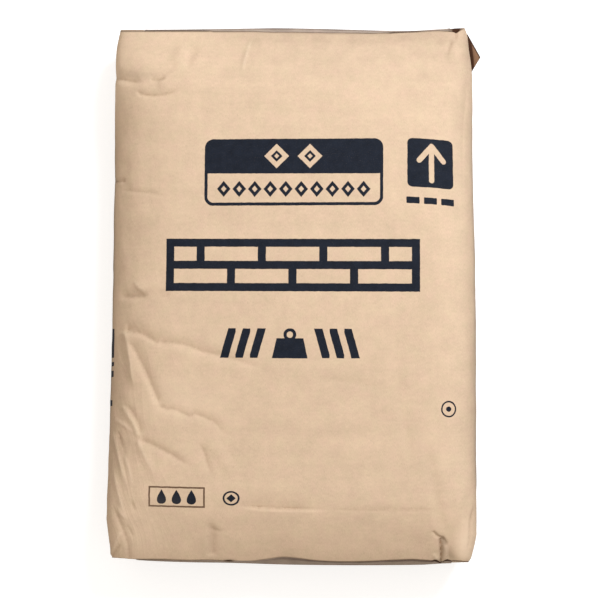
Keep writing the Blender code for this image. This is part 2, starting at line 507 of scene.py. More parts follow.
# The creases that the photograph shows, from the top end down.
CREASES: dict[str, Crease] = {
    "top_left_dent": Crease(
        ((109, 77), (120, 79.5), (131, 81.2), (138, 81.3), (143, 79.3)), -2.4, 14, 6.5, 0.1, 0.3
    ),
    "top_left_second": Crease(((149, 80), (158, 79.6), (167, 78.2)), -1.5, 8, 3, 0.25, 0.3),
    "top_left_ridge": Crease(((156, 89), (166, 80), (179, 68.5), (187, 55)), 1.7, 6, 6, 0.2, 0.4, False),
    "top_left_bow": Crease(
        ((136, 90), (140, 93.5), (147, 95), (158, 95), (170, 92.5), (182, 87)), -1.9, 7, 4, 0.1, 0.35
    ),
    "top_left_streak": Crease(((185, 42), (180, 54), (173, 67)), 1.1, 7, 7, 0.3, 0.3, False),
    "top_left_swale": Crease(((196, 43), (191, 55), (184, 69)), -1.1, 7, 7, 0.3, 0.3, False),
    "edge_notch": Crease(((112, 181), (118, 181.5), (126, 180)), -1.7, 6, 3, 0.0, 0.25),
    "upper_left_line": Crease(((118, 189), (140, 191), (155, 193), (170, 197)), -0.9, 7, 5, 0.2, 0.5),
    "left_upright": Crease(((129, 156), (124.5, 174), (127, 196)), -0.5, 7, 6, 0.3, 0.4, False),
    "left_slope_line": Crease(((120, 232), (128, 246), (133, 262), (134, 276)), -0.5, 7, 6, 0.3, 0.4, False),
    "top_nick": Crease(((251, 40), (247, 52), (243.5, 65), (241, 74)), 0.9, 3, 4, 0.2, 0.4),
    "top_right_nick": Crease(((455.5, 32), (456.5, 36), (456, 42)), -1.8, 3, 3, 0.0, 0.5),
    "top_right_line": Crease(((453, 39), (450, 48), (447, 59)), -0.9, 5, 5, 0.2, 0.6),
    "left_wedge": Crease(((118, 297), (130, 297), (141, 296.4), (149, 294)), -2.1, 10, 5, 0.3, 0.25),
    "left_facet": Crease(((133, 280), (139, 287), (146, 293.5)), 1.5, 11, 6, 0.3, 0.25),
    "left_trail": Crease(((157, 292), (165, 293.5), (173, 295.5)), -0.5, 4, 4, 0.3, 0.4),
    "main_head": Crease(
        ((124, 330.5), (133, 331.5), (142, 334), (151, 339), (159, 343)), -2.6, 12, 6, 0.1, 0.1
    ),
    "main_run": Crease(
        ((155, 342), (166, 342), (176, 342.6), (187, 345), (200, 350.3), (211, 353), (220, 355),
        (248, 363), (279, 372)),
        -2.3, 10, 9, 0.06, 0.6,
    ),
    "peak_ridge": Crease(((125.5, 330), (129, 346), (132, 367), (134.5, 390)), 3.4, 14, 10, 0.06, 0.3),
    "peak_valley": Crease(
        ((127.5, 338), (135, 350), (142, 365), (148.5, 379.5), (155, 394.5), (160, 406)),
        -2.4, 10, 7, 0.15, 0.1
    ),
    "sweep": Crease(
        ((157, 404), (166, 408.5), (175, 409.5), (189, 415.5), (195, 413.5), (209, 419), (216, 423),
        (223, 431), (236, 441)),
        -1.7, 8, 9, 0.05, 0.45,
    ),
    "low_wedge_ridge": Crease(
        ((122, 404), (127, 413), (132.5, 421.5), (136.5, 430), (139, 438)), 1.1, 3, 6, 0.15, 0.1
    ),
    "low_wedge_valley": Crease(((124, 402), (133, 414), (138.5, 425), (141, 436)), -1.2, 7, 3, 0.3, 0.2),
    "low_run": Crease(
        ((139, 439), (150, 443.5), (162, 449), (174, 456), (185, 462.6), (195, 467)), -1.9, 7, 8, 0.06, 0.35
    ),
    "low_fan_ridge": Crease(
        ((138, 438), (141, 447), (146, 458), (152, 470), (157, 481)), 1.5, 10, 8, 0.1, 0.5
    ),
    "brow": Crease(((113.5, 418), (125, 425.5), (133.5, 434)), 0.8, 3, 5, 0.15, 0.3),
    "edge_ridge": Crease(
        ((112.5, 428), (115, 438), (118.6, 454), (122, 469.5), (125.5, 483), (128, 493)),
        1.3, 3, 4.5, 0.15, 0.35,
    ),
    "edge_valley": Crease(((117.5, 430), (120.5, 441), (124, 453), (127, 463)), -1.1, 3.5, 3, 0.2, 0.4),
    "edge_ridge_beside": Crease(((120, 440), (125, 456), (130, 474), (133, 492)), 0.8, 3, 4, 0.2, 0.4),
    "edge_low_ridge": Crease(((113, 468), (117, 486), (121, 503), (126, 520)), 1.3, 4, 5, 0.3, 0.3),
    "low_streak_a": Crease(((198, 441), (204.5, 452), (208, 464), (214, 480)), -1.3, 6, 8, 0.25, 0.5),
    "low_streak_b": Crease(((206, 432), (217, 450), (228, 468), (239, 484)), 0.9, 9, 8, 0.3, 0.5, False),
    "low_streak_c": Crease(((131, 499), (135, 512)), -0.8, 3, 4, 0.4, 0.4),
    "low_corner_valley": Crease(
        ((112, 504), (117, 516), (121, 526), (125, 536.5), (128, 548), (129, 559)), -1.5, 7, 4, 0.25, 0.0
    ),
    "low_corner_ridge": Crease(((121, 531), (116, 542), (111, 555)), 1.2, 4, 5, 0.2, 0.0),
    "low_left_fold_a": Crease(((117, 505), (121, 514), (128, 521)), 1.0, 4, 4, 0.3, 0.4),
    "low_left_fold_b": Crease(((124, 524), (130, 531), (133, 540)), -0.9, 4, 4, 0.3, 0.4),
    "low_left_line": Crease(((112, 556), (117, 549), (122, 543)), -1.0, 3, 4, 0.0, 0.4),
    "low_step": Crease(((234, 505.5), (262, 507.8), (292, 509), (334, 509.5)), -2.7, 21, 3.4, 0.25, 0.45),
    "bottom_upright": Crease(((210.5, 520), (210.5, 541), (211, 557)), -1.9, 8, 5, 0.3, 0.1, False),
    "bottom_level": Crease(((209, 528), (216, 530), (225, 531)), -0.7, 5, 4, 0.3, 0.5),
    "pinch_wing": Crease(((432.5, 530.5), (435.5, 534), (439.5, 537), (445, 538)), -1.8, 2, 3.5, 0.15, 0.2),
    "pinch_face": Crease(((442, 537), (445.5, 540.5), (447, 546)), -1.6, 2, 5, 0.15, 0.3),
    "pinch_valley": Crease(((439.7, 538), (440, 546), (440.3, 554), (441, 562)), -3.3, 5.5, 1.6, 0.1, 0.0),
    "pinch_beside": Crease(((446.3, 543), (446.5, 552), (447, 561)), 0.8, 3, 2.5, 0.3, 0.0),
    "pinch_left_peak": Crease(((433, 553), (436, 558), (437, 562)), 1.1, 3, 4, 0.3, 0.0),
    "pinch_tail": Crease(
        ((441, 534), (440, 520), (436, 500), (432.5, 477), (428, 458), (424.5, 442), (417, 409)),
        -1.3, 9, 9, 0.1, 0.6, False
    ),
    "pinch_tail_beside": Crease(
        ((418, 478), (410, 453), (403, 417), (400, 396), (397.5, 369), (391.5, 330)),
        -0.6, 8, 8, 0.3, 0.5, False
    ),
    "middle_smudge": Crease(
        ((307, 379), (330, 381), (353, 383), (372, 386.5), (391, 393)), -0.7, 7, 5, 0.4, 0.3, False
    ),
    "upper_fold_mark": Crease(
        ((165, 79.2), (200, 79), (230, 78.8), (255, 78.6)), -0.12, 4, 3, 0.3, 0.4, False
    ),
    "lower_fold_mark": Crease(((320, 509), (360, 509), (400, 509.3), (447, 509.5)), -0.35, 8, 3, 0.3, 0.2),
    "right_mark": Crease(((400, 362), (430, 362), (460, 362.5)), -0.15, 4, 4, 0.3, 0.3, False),
    "right_edge_facet": Crease(
        ((471, 484), (467.5, 500), (466, 514), (468.5, 530)), -1.0, 6, 6, 0.3, 0.3, False
    ),
    "right_edge_line": Crease(((475, 503), (471, 520), (469.5, 540), (466.5, 556)), -1.1, 2.5, 3, 0.2, 0.2),
}


@dataclass(frozen=True)
class Swell:
    """A broad low swelling of the face, or a hollow where the height is negative.

    The place and the two reaches are in the photograph's pixels, and the height is in millimetres.
    """

    at: Point
    height: float
    across: float
    along: float


# Broad hollows and swellings of the upper face.
SWELLS: dict[str, Swell] = {
    "upper_band": Swell((250, 226), -1.0, 95, 12),
    "mid_left": Swell((150, 315), 1.0, 26, 20),
    "wedge_patch": Swell((150, 285), 0.9, 17, 8),
    "left_flank": Swell((128, 205), -1.0, 22, 55),
    "left_dimple_a": Swell((127, 148), 0.6, 9, 11),
    "left_dimple_b": Swell((131, 236), -0.8, 12, 9),
    "left_dimple_c": Swell((124, 262), 0.7, 9, 10),
    "left_dimple_d": Swell((143, 212), 0.5, 10, 9),
    "lower_left": Swell((165, 470), 1.1, 40, 38),
    "lower_middle": Swell((300, 470), -0.6, 80, 40),
    "lower_right": Swell((452, 470), 0.8, 20, 45),
    "low_left_corner": Swell((150, 530), -0.9, 30, 16),
    "low_smudge": Swell((410, 542), -0.9, 17, 13),
    "pinch_shade": Swell((448, 566), -2.8, 10, 12),
    "bottom_lean": Swell((310, 590), -3.6, 130, 46),
    "top_left_corner": Swell((140, 55), 1.0, 22, 16),
    "left_blotch_a": Swell((138, 165), 0.5, 8, 22),
    "left_blotch_b": Swell((152, 172), -0.5, 8, 22),
}


@dataclass(frozen=True)
class Stain:
    """A soft patch on the upper face: painted shade where its amount is above 0, and painted light, paler, where it is
    below 0.

    The place, the reach along the patch and the reach beside it are in the photograph's pixels. The
    turn is in degrees, counted from a level patch towards one that runs down to the right.
    """

    at: Point
    amount: float
    along: float
    beside: float
    turn: float = 0.0

    def share(self, spots: np.ndarray) -> np.ndarray:
        """How dark the patch makes each spot, up to its amount."""
        x, y = (spots - np.array(self.at)).T
        cosine, sine = math.cos(math.radians(self.turn)), math.sin(math.radians(self.turn))
        off = np.hypot((x * cosine + y * sine) / self.along, (y * cosine - x * sine) / self.beside)
        return self.amount * np.exp(-(off**2))


# Soft patches of painted shade and painted light on the upper face.
STAINS: tuple[Stain, ...] = (
    Stain((131, 74), 0.16, 13, 5, 12), Stain((150, 76), 0.10, 9, 4), Stain((171, 57), 0.07, 12, 4, 118),
    Stain((194, 57), 0.10, 12, 4, 118), Stain((241.5, 62), 0.06, 12, 2.5, 107),
    Stain((449, 51), 0.07, 11, 2.5, 105), Stain((461, 125), 0.07, 60, 9, 90),
    Stain((465, 92), 0.06, 26, 3, 90), Stain((147, 175), 0.05, 24, 6, 90), Stain((136, 295), 0.10, 9, 3),
    Stain((119, 182), 0.28, 3.5, 1.5), Stain((442.6, 551), 0.3, 10, 2.3, 90),
    Stain((444, 541), 0.3, 5, 3, 55), Stain((451, 553.5), 0.26, 8, 4.2, 50),
    Stain((455, 558), 0.14, 6, 3, 10), Stain((439, 561), 0.55, 7, 1.6), Stain((332, 433), 0.05, 18, 4),
    Stain((350, 386), 0.05, 40, 6, 10), Stain((420, 450), 0.05, 40, 4, 80),
    Stain((229, 560.5), 0.75, 5, 1.3), Stain((210.5, 540), 0.07, 17, 4, 90),
    Stain((459, 130), 0.04, 50, 7, 90), Stain((117, 80), -0.36, 40, 9, 90),
    Stain((118, 190), -0.08, 60, 9, 90), Stain((115, 310), -0.14, 40, 8, 90),
    Stain((130, 530), -0.13, 40, 26), Stain((464, 545), -0.55, 17, 9, 100),
    Stain((170, 400), -0.12, 40, 22),
)


@dataclass(frozen=True)
class OutlineTrace:
    """Where the edges of the bag run in the photograph, each at a few of its pixels, and how much painted shade lies
    along them.
    """

    left: Path = (
        (120.5, 31), (116.6, 52), (115.3, 90), (114.9, 150), (114, 210), (113.2, 270), (112.3, 330),
        (110.8, 390), (109.2, 440), (107.8, 480), (106.6, 512), (106.6, 521), (109.5, 541), (112.2, 557.5),
    )
    right: Path = (
        (464.5, 29), (467, 36), (469, 50), (471.6, 72), (472.2, 90), (472.4, 150), (473.2, 190),
        (474.2, 230), (475.2, 270), (475.8, 330), (476.2, 400), (476.4, 470), (476.5, 525), (476, 537),
        (471.5, 556), (467.5, 562),
    )
    top_fold: Path = (
        (120, 31.5), (205, 31.6), (210, 32.4), (250, 32.5), (300, 33.6), (340, 34.2), (380, 34),
        (400, 32.6), (430, 31.8), (451, 31.8), (456.5, 33), (460, 30.3), (464.5, 28.6),
    )
    top_wall: Path = (
        (120, 29.8), (142, 29.8), (150, 30.4), (190, 30.0), (240, 29.3), (275, 28.8), (310, 29.3),
        (350, 30.3), (385, 31.3), (410, 31.5), (432, 30.3), (446, 29.4), (452, 28.6), (464.5, 27.8),
    )
    bottom_fold: Path = (
        (112, 557.6), (135, 559), (163, 559.3), (188, 560.2), (206, 559.9), (216, 560.2), (229, 560.9),
        (245, 561), (254, 560.7), (266, 559.2), (283, 557.1), (300, 558.6), (312, 560.3), (326, 561.4),
        (347, 561.9), (369, 561.4), (390, 560.3), (411, 559.5), (421, 560), (432, 560.6), (435, 559.8),
        (438, 561.2), (441, 562.2), (444, 560.6), (447, 559.5), (451, 560.5), (458, 561), (468, 561.4),
    )
    bottom_wall: Path = (
        (112, 557.6), (150, 560.2), (188, 561.6), (225, 562.1), (250, 562.8), (285, 563.9), (330, 564.5),
        (376, 564.6), (418, 564.2), (433, 563.4), (441, 562.9), (450, 562.6), (468, 562.3),
    )
    # Painted shade along the end walls by pixel column: a painted shadow under each fold and a painted dark line at
    # the wall's outer edge.
    top_soil: Path = (
        (110, 0.7), (200, 0.6), (212, 0.3), (262, 0.27), (300, 0.32), (380, 0.35), (390, 0.85), (414, 0.85),
        (426, 0.4), (446, 0.4), (453, 0.95), (459, 0.95), (464, 0.6),
    )
    top_edge_soil: Path = (
        (110, 0.6), (200, 0.5), (220, 0.4), (250, 0.45), (270, 0.62), (300, 0.62), (335, 0.55), (380, 0.4),
        (415, 0.45), (430, 0.6), (448, 0.6), (464, 0.75),
    )
    bottom_soil: Path = (
        (110, 0.3), (200, 0.3), (220, 0.3), (228, 1.0), (236, 0.4), (262, 0.3), (285, 0.5), (330, 0.65),
        (420, 0.7), (433, 0.9), (447, 0.9), (452, 0.7), (466, 0.8),
    )
    bottom_edge_soil: Path = (
        (110, 0.2), (140, 0.3), (250, 0.4), (285, 0.6), (330, 0.75), (345, 0.7), (372, 0.4), (425, 0.2),
        (440, 0.4), (466, 0.5),
    )
    # Painted shade on the steep part of each side wall, by pixel row.
    left_edge_soil: Path = (
        (50, 0.2), (110, 0.3), (180, 0.4), (250, 0.5), (330, 0.55), (400, 0.35), (440, 0.1), (470, 0.0),
    )
    right_edge_soil: Path = (
        (60, 0.0), (90, 0.3), (200, 0.3), (300, 0.38), (400, 0.32), (450, 0.45), (520, 0.6), (545, 0.0),
    )


def curve_through(points: Sequence[Sequence[float]], at: np.ndarray) -> np.ndarray:
    """The second coordinate of a smooth curve through points, where the first one is given.

    Args:
        points: Points with a rising first coordinate.
        at: First coordinates.

    Returns:
        The curve's second coordinates.
    """
    path = smooth_path(np.array(points, float))
    return np.interp(at, path[:, 0], path[:, 1])


def deselect_all() -> None:
    """Leaves object mode with nothing selected."""
    if bpy.context.object is not None and bpy.context.object.mode != "OBJECT":
        bpy.ops.object.mode_set(mode="OBJECT")
    bpy.ops.object.select_all(action="DESELECT")


def make_active(piece: Piece) -> None:
    """Selects one piece alone and makes it the active one."""
    deselect_all()
    piece.select_set(True)
    bpy.context.view_layer.objects.active = piece


def gather(elements: Sequence, name: str, width: int = 3, kind: type = np.float32) -> np.ndarray:
    """A property of all of a mesh's elements of one kind.

    Args:
        elements: The elements, such as the mesh's edges.
        name: The property.
        width: How many numbers each element has.
        kind: The numbers' type.

    Returns:
        One row for each element.
    """
    found = np.empty(len(elements) * width, kind)
    elements.foreach_get(name, found)
    return found.reshape(-1, width).astype(float if kind is np.float32 else int)


def read_points(piece: Piece) -> np.ndarray:
    """The places of a piece's vertices, one in a row."""
    return gather(piece.data.vertices, "co")


def write_points(piece: Piece, points: np.ndarray) -> None:
    """Moves a piece's vertices to the given places."""
    piece.data.vertices.foreach_set("co", points.astype(np.float32).ravel())
    piece.data.update()


def read_normals(piece: Piece) -> np.ndarray:
    """The outward directions at a piece's vertices, one in a row."""
    return gather(piece.data.vertex_normals, "vector")


def write_attribute(piece: Piece, name: str, values: np.ndarray) -> None:
    """Keeps a vector or a number with each vertex of a piece.

    Args:
        piece: The piece.
        name: The attribute's name.
        values: One row of three numbers, or one number, for each vertex.
    """
    vectors = values.ndim == 2
    old = piece.data.attributes.get(name)
    made = old or piece.data.attributes.new(name, "FLOAT_VECTOR" if vectors else "FLOAT", "POINT")
    made.data.foreach_set("vector" if vectors else "value", values.astype(np.float32).ravel())


def read_vectors(piece: Piece, name: str) -> np.ndarray:
    """The vectors that an attribute keeps with a piece's vertices, one in a row."""
    return gather(piece.data.attributes[name].data, "vector")


def select_only(piece: Piece, chosen: np.ndarray, faces: bool = False) -> None:
    """Selects chosen edges or faces of a piece, and nothing else of it.

    Args:
        piece: The piece, in object mode.
        chosen: True for each edge or face to select.
        faces: Whether these are faces.
    """
    bpy.context.tool_settings.mesh_select_mode = (False, not faces, faces)
    mesh = piece.data
    for elements in (mesh.vertices, mesh.edges, mesh.polygons):
        elements.foreach_set("select", np.zeros(len(elements), bool))
    (mesh.polygons if faces else mesh.edges).foreach_set("select", chosen)


@contextmanager
def edit_mode() -> Iterator[None]:
    """Edit mode for the active piece, and object mode again after it."""
    bpy.ops.object.mode_set(mode="EDIT")
    yield
    bpy.ops.object.mode_set(mode="OBJECT")


def cube_cage(name: str, counts: tuple[int, int, int]) -> Piece:
    """A cube from -1 to 1 whose faces are divided evenly.

    Args:
        name: The new piece's name.
        counts: The number of divisions along X, Y and Z. Above 100, it halves evenly down to 100.

    Returns:
        The cage, in object mode.
    """
    deselect_all()
    bpy.ops.mesh.primitive_cube_add(size=2.0)
    cage = bpy.context.object
    cage.name = cage.data.name = name
    for axis, count in enumerate(counts):
        steps = [count]
        while steps[-1] > 100:
            steps[-1:] = [2, steps[-1] // 2]
        for step in steps:
            ends = gather(cage.data.edges, "vertices", 2, np.int32)
            points = read_points(cage)
            select_only(cage, abs(points[ends[:, 1]] - points[ends[:, 0]]).argmax(1) == axis)
            with edit_mode():
                bpy.ops.mesh.subdivide(number_cuts=step - 1)
    write_attribute(cage, CUBE_PLACE, np.clip(np.round(read_points(cage), 5), -1.0, 1.0))
    return cage


def closed_volume(piece: Piece) -> float:
    """The volume inside a closed piece, in cubic metres."""
    mesh = piece.data
    mesh.calc_loop_triangles()
    corners = gather(mesh.loop_triangles, "vertices", 3, np.int32)
    a, b, c = read_points(piece)[corners].transpose(1, 0, 2)
    return float(np.einsum("ij,ij->i", a, np.cross(b, c)).sum() / 6.0)


@dataclass
class PaperSack:
    """The sack of kraft plies, with its folded ends."""

    form: BagForm
    view: PhotoView
    trace: OutlineTrace = field(default_factory=OutlineTrace)
    cloth_cuts: tuple[int, int, int] = (46, 66, 10)
    cuts: tuple[int, int, int] = (150, 220, 24)
    crowding: tuple[float, float, float] = (0.14, 0.26, 0.24)
    slack: float = 0.012
    bending: float = 60.0
    pressure: float = 60.0
    frames: int = 20
    seed: int = 4
    most_moved: float = 0.0022
    crumple: float = 0.0004
    end_waves: float = 0.0011
    ply: float = 0.0007
    piece: Piece = field(init=False)

    def build(self) -> Piece:
        """Makes the sack's mesh.

        Returns:
            The sack, not yet dressed.
        """
        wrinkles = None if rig.quick() else self.settle()
        self.piece = cube_cage("paper_sack_folded", self.cuts)
        cube = self.crowd(read_vectors(self.piece, CUBE_PLACE))
        write_attribute(self.piece, CUBE_PLACE, cube)
        write_points(self.piece, self.form.place(cube))
        self.refine_near_creases()
        cube = np.clip(np.round(read_vectors(self.piece, CUBE_PLACE), 6), -1.0, 1.0)
        points = self.form.place(cube)
        write_points(self.piece, points)
        points = self.follow_outline(cube, points)
        write_points(self.piece, points)
        if wrinkles is not None:
            points = points + wrinkles.at(cube)
            write_points(self.piece, points)
        write_attribute(self.piece, CUBE_PLACE, cube)
        write_attribute(self.piece, SHEET, self.form.sheet(cube))
        write_attribute(self.piece, SOILED, self.soiled(cube))
        self.crease(cube)
        make_active(self.piece)
        bpy.ops.object.shade_smooth_by_angle(angle=math.radians(50))
        return self.piece

    def crowd(self, cube: np.ndarray) -> np.ndarray:
        """Points on the cube, drawn closer together towards its edges, where the folds are."""
        share = np.array(self.crowding)
        return cube * (1.0 + share - share * cube**2)

    def settle(self) -> Wrinkles:
        """Lets paper that is a little longer than the form settle as stiff cloth around the powder.

        The underside is held. Only the wrinkles are kept: what the paper moves as a whole is taken
        off again, so that the bag keeps its outline.

        Returns:
            The wrinkles, as movements on the cube.
        """
        cage = cube_cage("settling_paper", self.cloth_cuts)
        cube = read_vectors(cage, CUBE_PLACE)
        start = self.form.place(cube)
        write_points(cage, start)
        seed = np.random.default_rng(self.seed).normal(0.0, 0.0003, (len(start), 1))
        write_points(cage, start + read_normals(cage) * seed)
        held = cage.vertex_groups.new(name="held")
        held.add([int(i) for i in np.nonzero(start[:, 2] < 0.0005)[0]], 1.0, "REPLACE")
        slack = cage.vertex_groups.new(name="slack")
        for i, value in enumerate(self.slack_share(cube)):
            slack.add([i], float(value), "REPLACE")
        make_active(cage)
        paper = cage.modifiers.new("settle", "CLOTH")
        for name, value in {
            "quality": 8, "mass": 0.15, "tension_stiffness": 60.0, "compression_stiffness": 60.0,
            "shear_stiffness": 30.0, "bending_stiffness": self.bending, "use_pressure": True,
            "uniform_pressure_force": 0.0, "use_pressure_volume": True, "target_volume": closed_volume(cage),
            "pressure_factor": self.pressure, "shrink_min": 0.0, "shrink_max": -self.slack,
            "vertex_group_shrink": slack.name, "vertex_group_mass": held.name,
        }.items():
            setattr(paper.settings, name, value)
        paper.settings.effector_weights.gravity = 0.0
        paper.collision_settings.use_collision = False
        paper.collision_settings.use_self_collision = False
        for frame in range(1, self.frames + 1):
            bpy.context.scene.frame_set(frame)
        bpy.ops.object.modifier_apply(modifier=paper.name)
        bpy.context.scene.frame_set(1)
        moved = fine_part(cage, read_points(cage) - start) * self.slack_share(cube)[:, None]
        far = np.linalg.norm(moved, axis=1, keepdims=True)
        log.info("settled paper: wrinkles of %.2f mm, at most %.1f mm", far.mean() / MM, far.max() / MM)
        moved *= np.minimum(1.0, self.most_moved / np.maximum(far, 1e-9))
        found = Wrinkles.on_lattice(self.cloth_cuts, cube, moved)
        bpy.data.objects.remove(cage, do_unlink=True)
        return found

    def slack_share(self, cube: np.ndarray) -> np.ndarray:
        """How slack the paper is at each point of the cube: most on the sides and at the left."""
        across, along, up = cube.T
        left = ease((-0.25 - across) / 0.7)
        low = ease((0.3 - along) / 0.8)
        face = 0.12 + 0.88 * left * (0.2 + 0.8 * low)
        return np.where(abs(up) < 0.999, 0.9, np.maximum(face, 0.8 * ease((abs(across) - 0.75) / 0.25)))

    def soiled(self, cube: np.ndarray) -> np.ndarray:
        """How much painted shade each point takes: a painted shadow along the folds, painted dark lines along the
        outer edges of the walls, and patches of painted shade and light on the face.

        Args:
            cube: Each vertex's place on the cube.

        Returns:
            A number for each vertex: 0 where nothing is painted, 1 or more where painted shade makes it black, and
                below 0 where painted light makes it pale.
        """
        across, along, up = cube.T
        spots = self.view.to_pixels(read_points(self.piece))
        trace = self.trace
        found = np.zeros(len(cube))
        # Painted shadow under each end's fold, and a painted dark line along the end wall's outer edge.
        ends = (
            (along > AT_EDGE, trace.top_soil, trace.top_edge_soil, 0.86, 0.5),
            (along < -AT_EDGE, trace.bottom_soil, trace.bottom_edge_soil, 0.85, 0.12),
        )
        for there, fold, edge, begin, outer in ends:
            at_fold, at_edge = (np.clip(curve_through(each, spots[:, 0]), 0.0, 1.0) for each in (fold, edge))
            at_fold = at_fold * ease((up - begin) / 0.12)
            at_edge = at_edge * np.exp(-(((up - outer) / 0.21) ** 2))
            found += there * np.maximum(at_fold, at_edge)
        # Painted shade on the top end wall: in the pocket at its right corner and beside it, and towards its left
        # corner.
        pocket = 1.15 * np.exp(-(((spots[:, 0] - 456.0) / 4.5) ** 2))
        pocket = pocket + 0.4 * ease((spots[:, 0] - 446.5) / 3.0)
        dark = np.maximum(np.minimum(pocket, 1.15), 0.4 * ease((214.0 - spots[:, 0]) / 12.0))
        found = np.maximum(found, (along > AT_EDGE) * dark * ease((up - 0.25) / 0.35))
        # Painted shade on the steep part of each side wall.
        sides = ((across < -AT_EDGE, trace.left_edge_soil), (across > AT_EDGE, trace.right_edge_soil))
        for there, edge in sides:
            amount = np.clip(curve_through(edge, spots[:, 1]), 0.0, 1.0) * (abs(along) < AT_EDGE)
            found += there * amount * np.exp(-(((up - 0.22) / 0.3) ** 2))
        # Patches of painted shade, and pale patches of painted light, on the upper face.
        for stain in STAINS:
            shown = up > AT_EDGE if stain.amount > 0 else (up > -0.9) & (abs(along) < AT_EDGE)
            found += shown * stain.share(spots)
        return found

    def refine_near_creases(self) -> None:
        """Divides the faces along the crisp creases once more."""
        faces = self.piece.data.polygons
        centres = gather(faces, "center")
        spots = self.view.to_pixels(centres)
        upper = centres[:, 2] > self.form.height / 2
        chosen = np.zeros(len(spots), bool)
        for crease in CREASES.values():
            if crease.crisp and abs(crease.height) > 0.55:
                path = crease.line()
                low, high = path.min(0) - 8, path.max(0) + 8
                around = upper & (spots > low).all(1) & (spots < high).all(1)
                chosen[np.nonzero(around)[0][crease.near(spots[around])[0] < 5.5]] = True
        make_active(self.piece)
        select_only(self.piece, chosen, faces=True)
        with edit_mode():
            bpy.ops.mesh.subdivide(number_cuts=1, ngon=False)
        log.info("faces divided along creases: %d", chosen.sum())

    def follow_outline(self, cube: np.ndarray, points: np.ndarray) -> np.ndarray:
        """Draws the sides and then the ends to where the photograph shows them.

        Args:
            cube: Each vertex's place on the cube.
            points: Each vertex's place on the bag.

        Returns:
            The new places on the bag.
        """
        across, _, up = cube.T
        points = points.copy()
        metres_per_pixel = self.view.distance / self.view.focal_pixels
        trace = self.trace
        for _ in range(2):
            spots = self.view.to_pixels(points)
            for sign, side in ((-1.0, trace.left), (1.0, trace.right)):
                wanted = curve_through([(y, x) for x, y in side], spots[:, 1])
                there = (across * sign > 0.5) & (up > -0.9)
                off = self.furthest(1, cube, there, sign * (spots[:, 0] - wanted))
                weight = ease((sign * across - 0.72) / 0.28) * ease((up + 1.0) / 0.9)
                points[:, 0] -= sign * off * weight * metres_per_pixel
        return self.follow_ends(cube, points)

    def follow_ends(self, cube: np.ndarray, points: np.ndarray) -> np.ndarray:
        """Draws the folds and the end walls to where the photograph shows them.

        Args:
            cube: Each vertex's place on the cube.
            points: Each vertex's place on the bag, which is changed.

        Returns:
            The new places on the bag.
        """
        _, along, up = cube.T
        metres_per_pixel = self.view.distance / self.view.focal_pixels
        trace = self.trace
        for _ in range(2):
            spots = self.view.to_pixels(points)
            ends = ((1.0, trace.top_fold, trace.top_wall), (-1.0, trace.bottom_fold, trace.bottom_wall))
            for sign, fold, wall in ends:
                at_end = (along * sign > AT_EDGE) & (up > -0.3)
                short = sign * (curve_through(fold, spots[:, 0]) - spots[:, 1])
                fold_off = self.furthest(0, cube, at_end & (up > AT_EDGE), short)
                short = sign * (curve_through(wall, spots[:, 0]) - spots[:, 1])
                wall_off = self.furthest(0, cube, at_end & (up < 0.9), short)
                shift = np.where(
                    abs(along) > AT_EDGE,
                    mix(wall_off * ease((up + 1.0) / 0.7), fold_off, np.clip(up, 0.0, 1.0) ** 5),
                    fold_off * ease((sign * along - 0.88) / 0.12) * ease(up + 0.2),
                )
                points[:, 1] -= np.where(sign * along > 0.0, sign * shift * metres_per_pixel, 0.0)
        return points

    def furthest(self, axis: int, cube: np.ndarray, there: np.ndarray, beyond: np.ndarray) -> np.ndarray:
        """How far the outermost vertex of each lattice line stands beyond the photograph's edge.

        Args:
            axis: 0 to go through the lines of vertices with the same place across, 1 for along.
            cube: Each vertex's place on the cube.
            there: True for the vertices that can be outermost.
            beyond: How far each vertex stands beyond the edge, in pixels.

        Returns:
            The distance for each vertex, from the lines beside it.
        """
        lines = np.linspace(-1.0, 1.0, self.cuts[axis] + 1)
        share = self.crowding[axis]
        lines = lines * (1.0 + share - share * lines**2)
        which = np.clip(np.searchsorted(lines, cube[:, axis] - 2e-4), 0, self.cuts[axis])
        chosen = there & (abs(lines[which] - cube[:, axis]) < 2e-4)
        most = np.full(len(lines), -np.inf)
        np.maximum.at(most, which[chosen], beyond[chosen])
        known = np.isfinite(most)
        return np.interp(cube[:, axis], lines[known], most[known])

    def crease(self, cube: np.ndarray) -> None:
        """Presses in the photograph's creases and swellings, and a fine crumple all over.

        Args:
            cube: Each vertex's place on the cube.
        """
        points = read_points(self.piece)
        normals = read_normals(self.piece)
        spots = self.view.to_pixels(points)
        facing = ease((normals[:, 2] + 0.1) / 0.5) * (points[:, 2] > self.form.height * 0.4)
        lift = np.zeros(len(points))
        rise = np.zeros(len(points))
        line = np.zeros(len(points))
        for crease in CREASES.values():
            path = crease.line()
            margin = max(crease.left, crease.right) + 4
            within = (spots > path.min(0) - margin) & (spots < path.max(0) + margin)
            chosen = np.nonzero((facing > 0) & within.all(1))[0]
            raised, near = crease.press(spots[chosen])
            lift[chosen] += raised * facing[chosen]
            line[chosen] += near * facing[chosen]
        for swell in SWELLS.values():
            x, y = (spots - np.array(swell.at)).T
            off = np.hypot(x / swell.across, y / swell.along)
            rise += swell.height * MM * np.exp(-(off**2)) * facing
        grounded = ease(points[:, 2] / 0.012)
        rough = np.array([noise.fractal(Vector(p) / 0.045, 0.8, 2.2, 4) for p in points])
        lift += self.crumple * rough * grounded
        lift += self.end_folds(cube, points) * grounded
        points += normals * lift[:, None]
        points[:, 2] = np.maximum(points[:, 2] + rise, 0.0)
        points = self.follow_ends(cube, points)
        write_points(self.piece, points)
        write_attribute(self.piece, CREASE, np.clip(line, -1.0, 1.0))

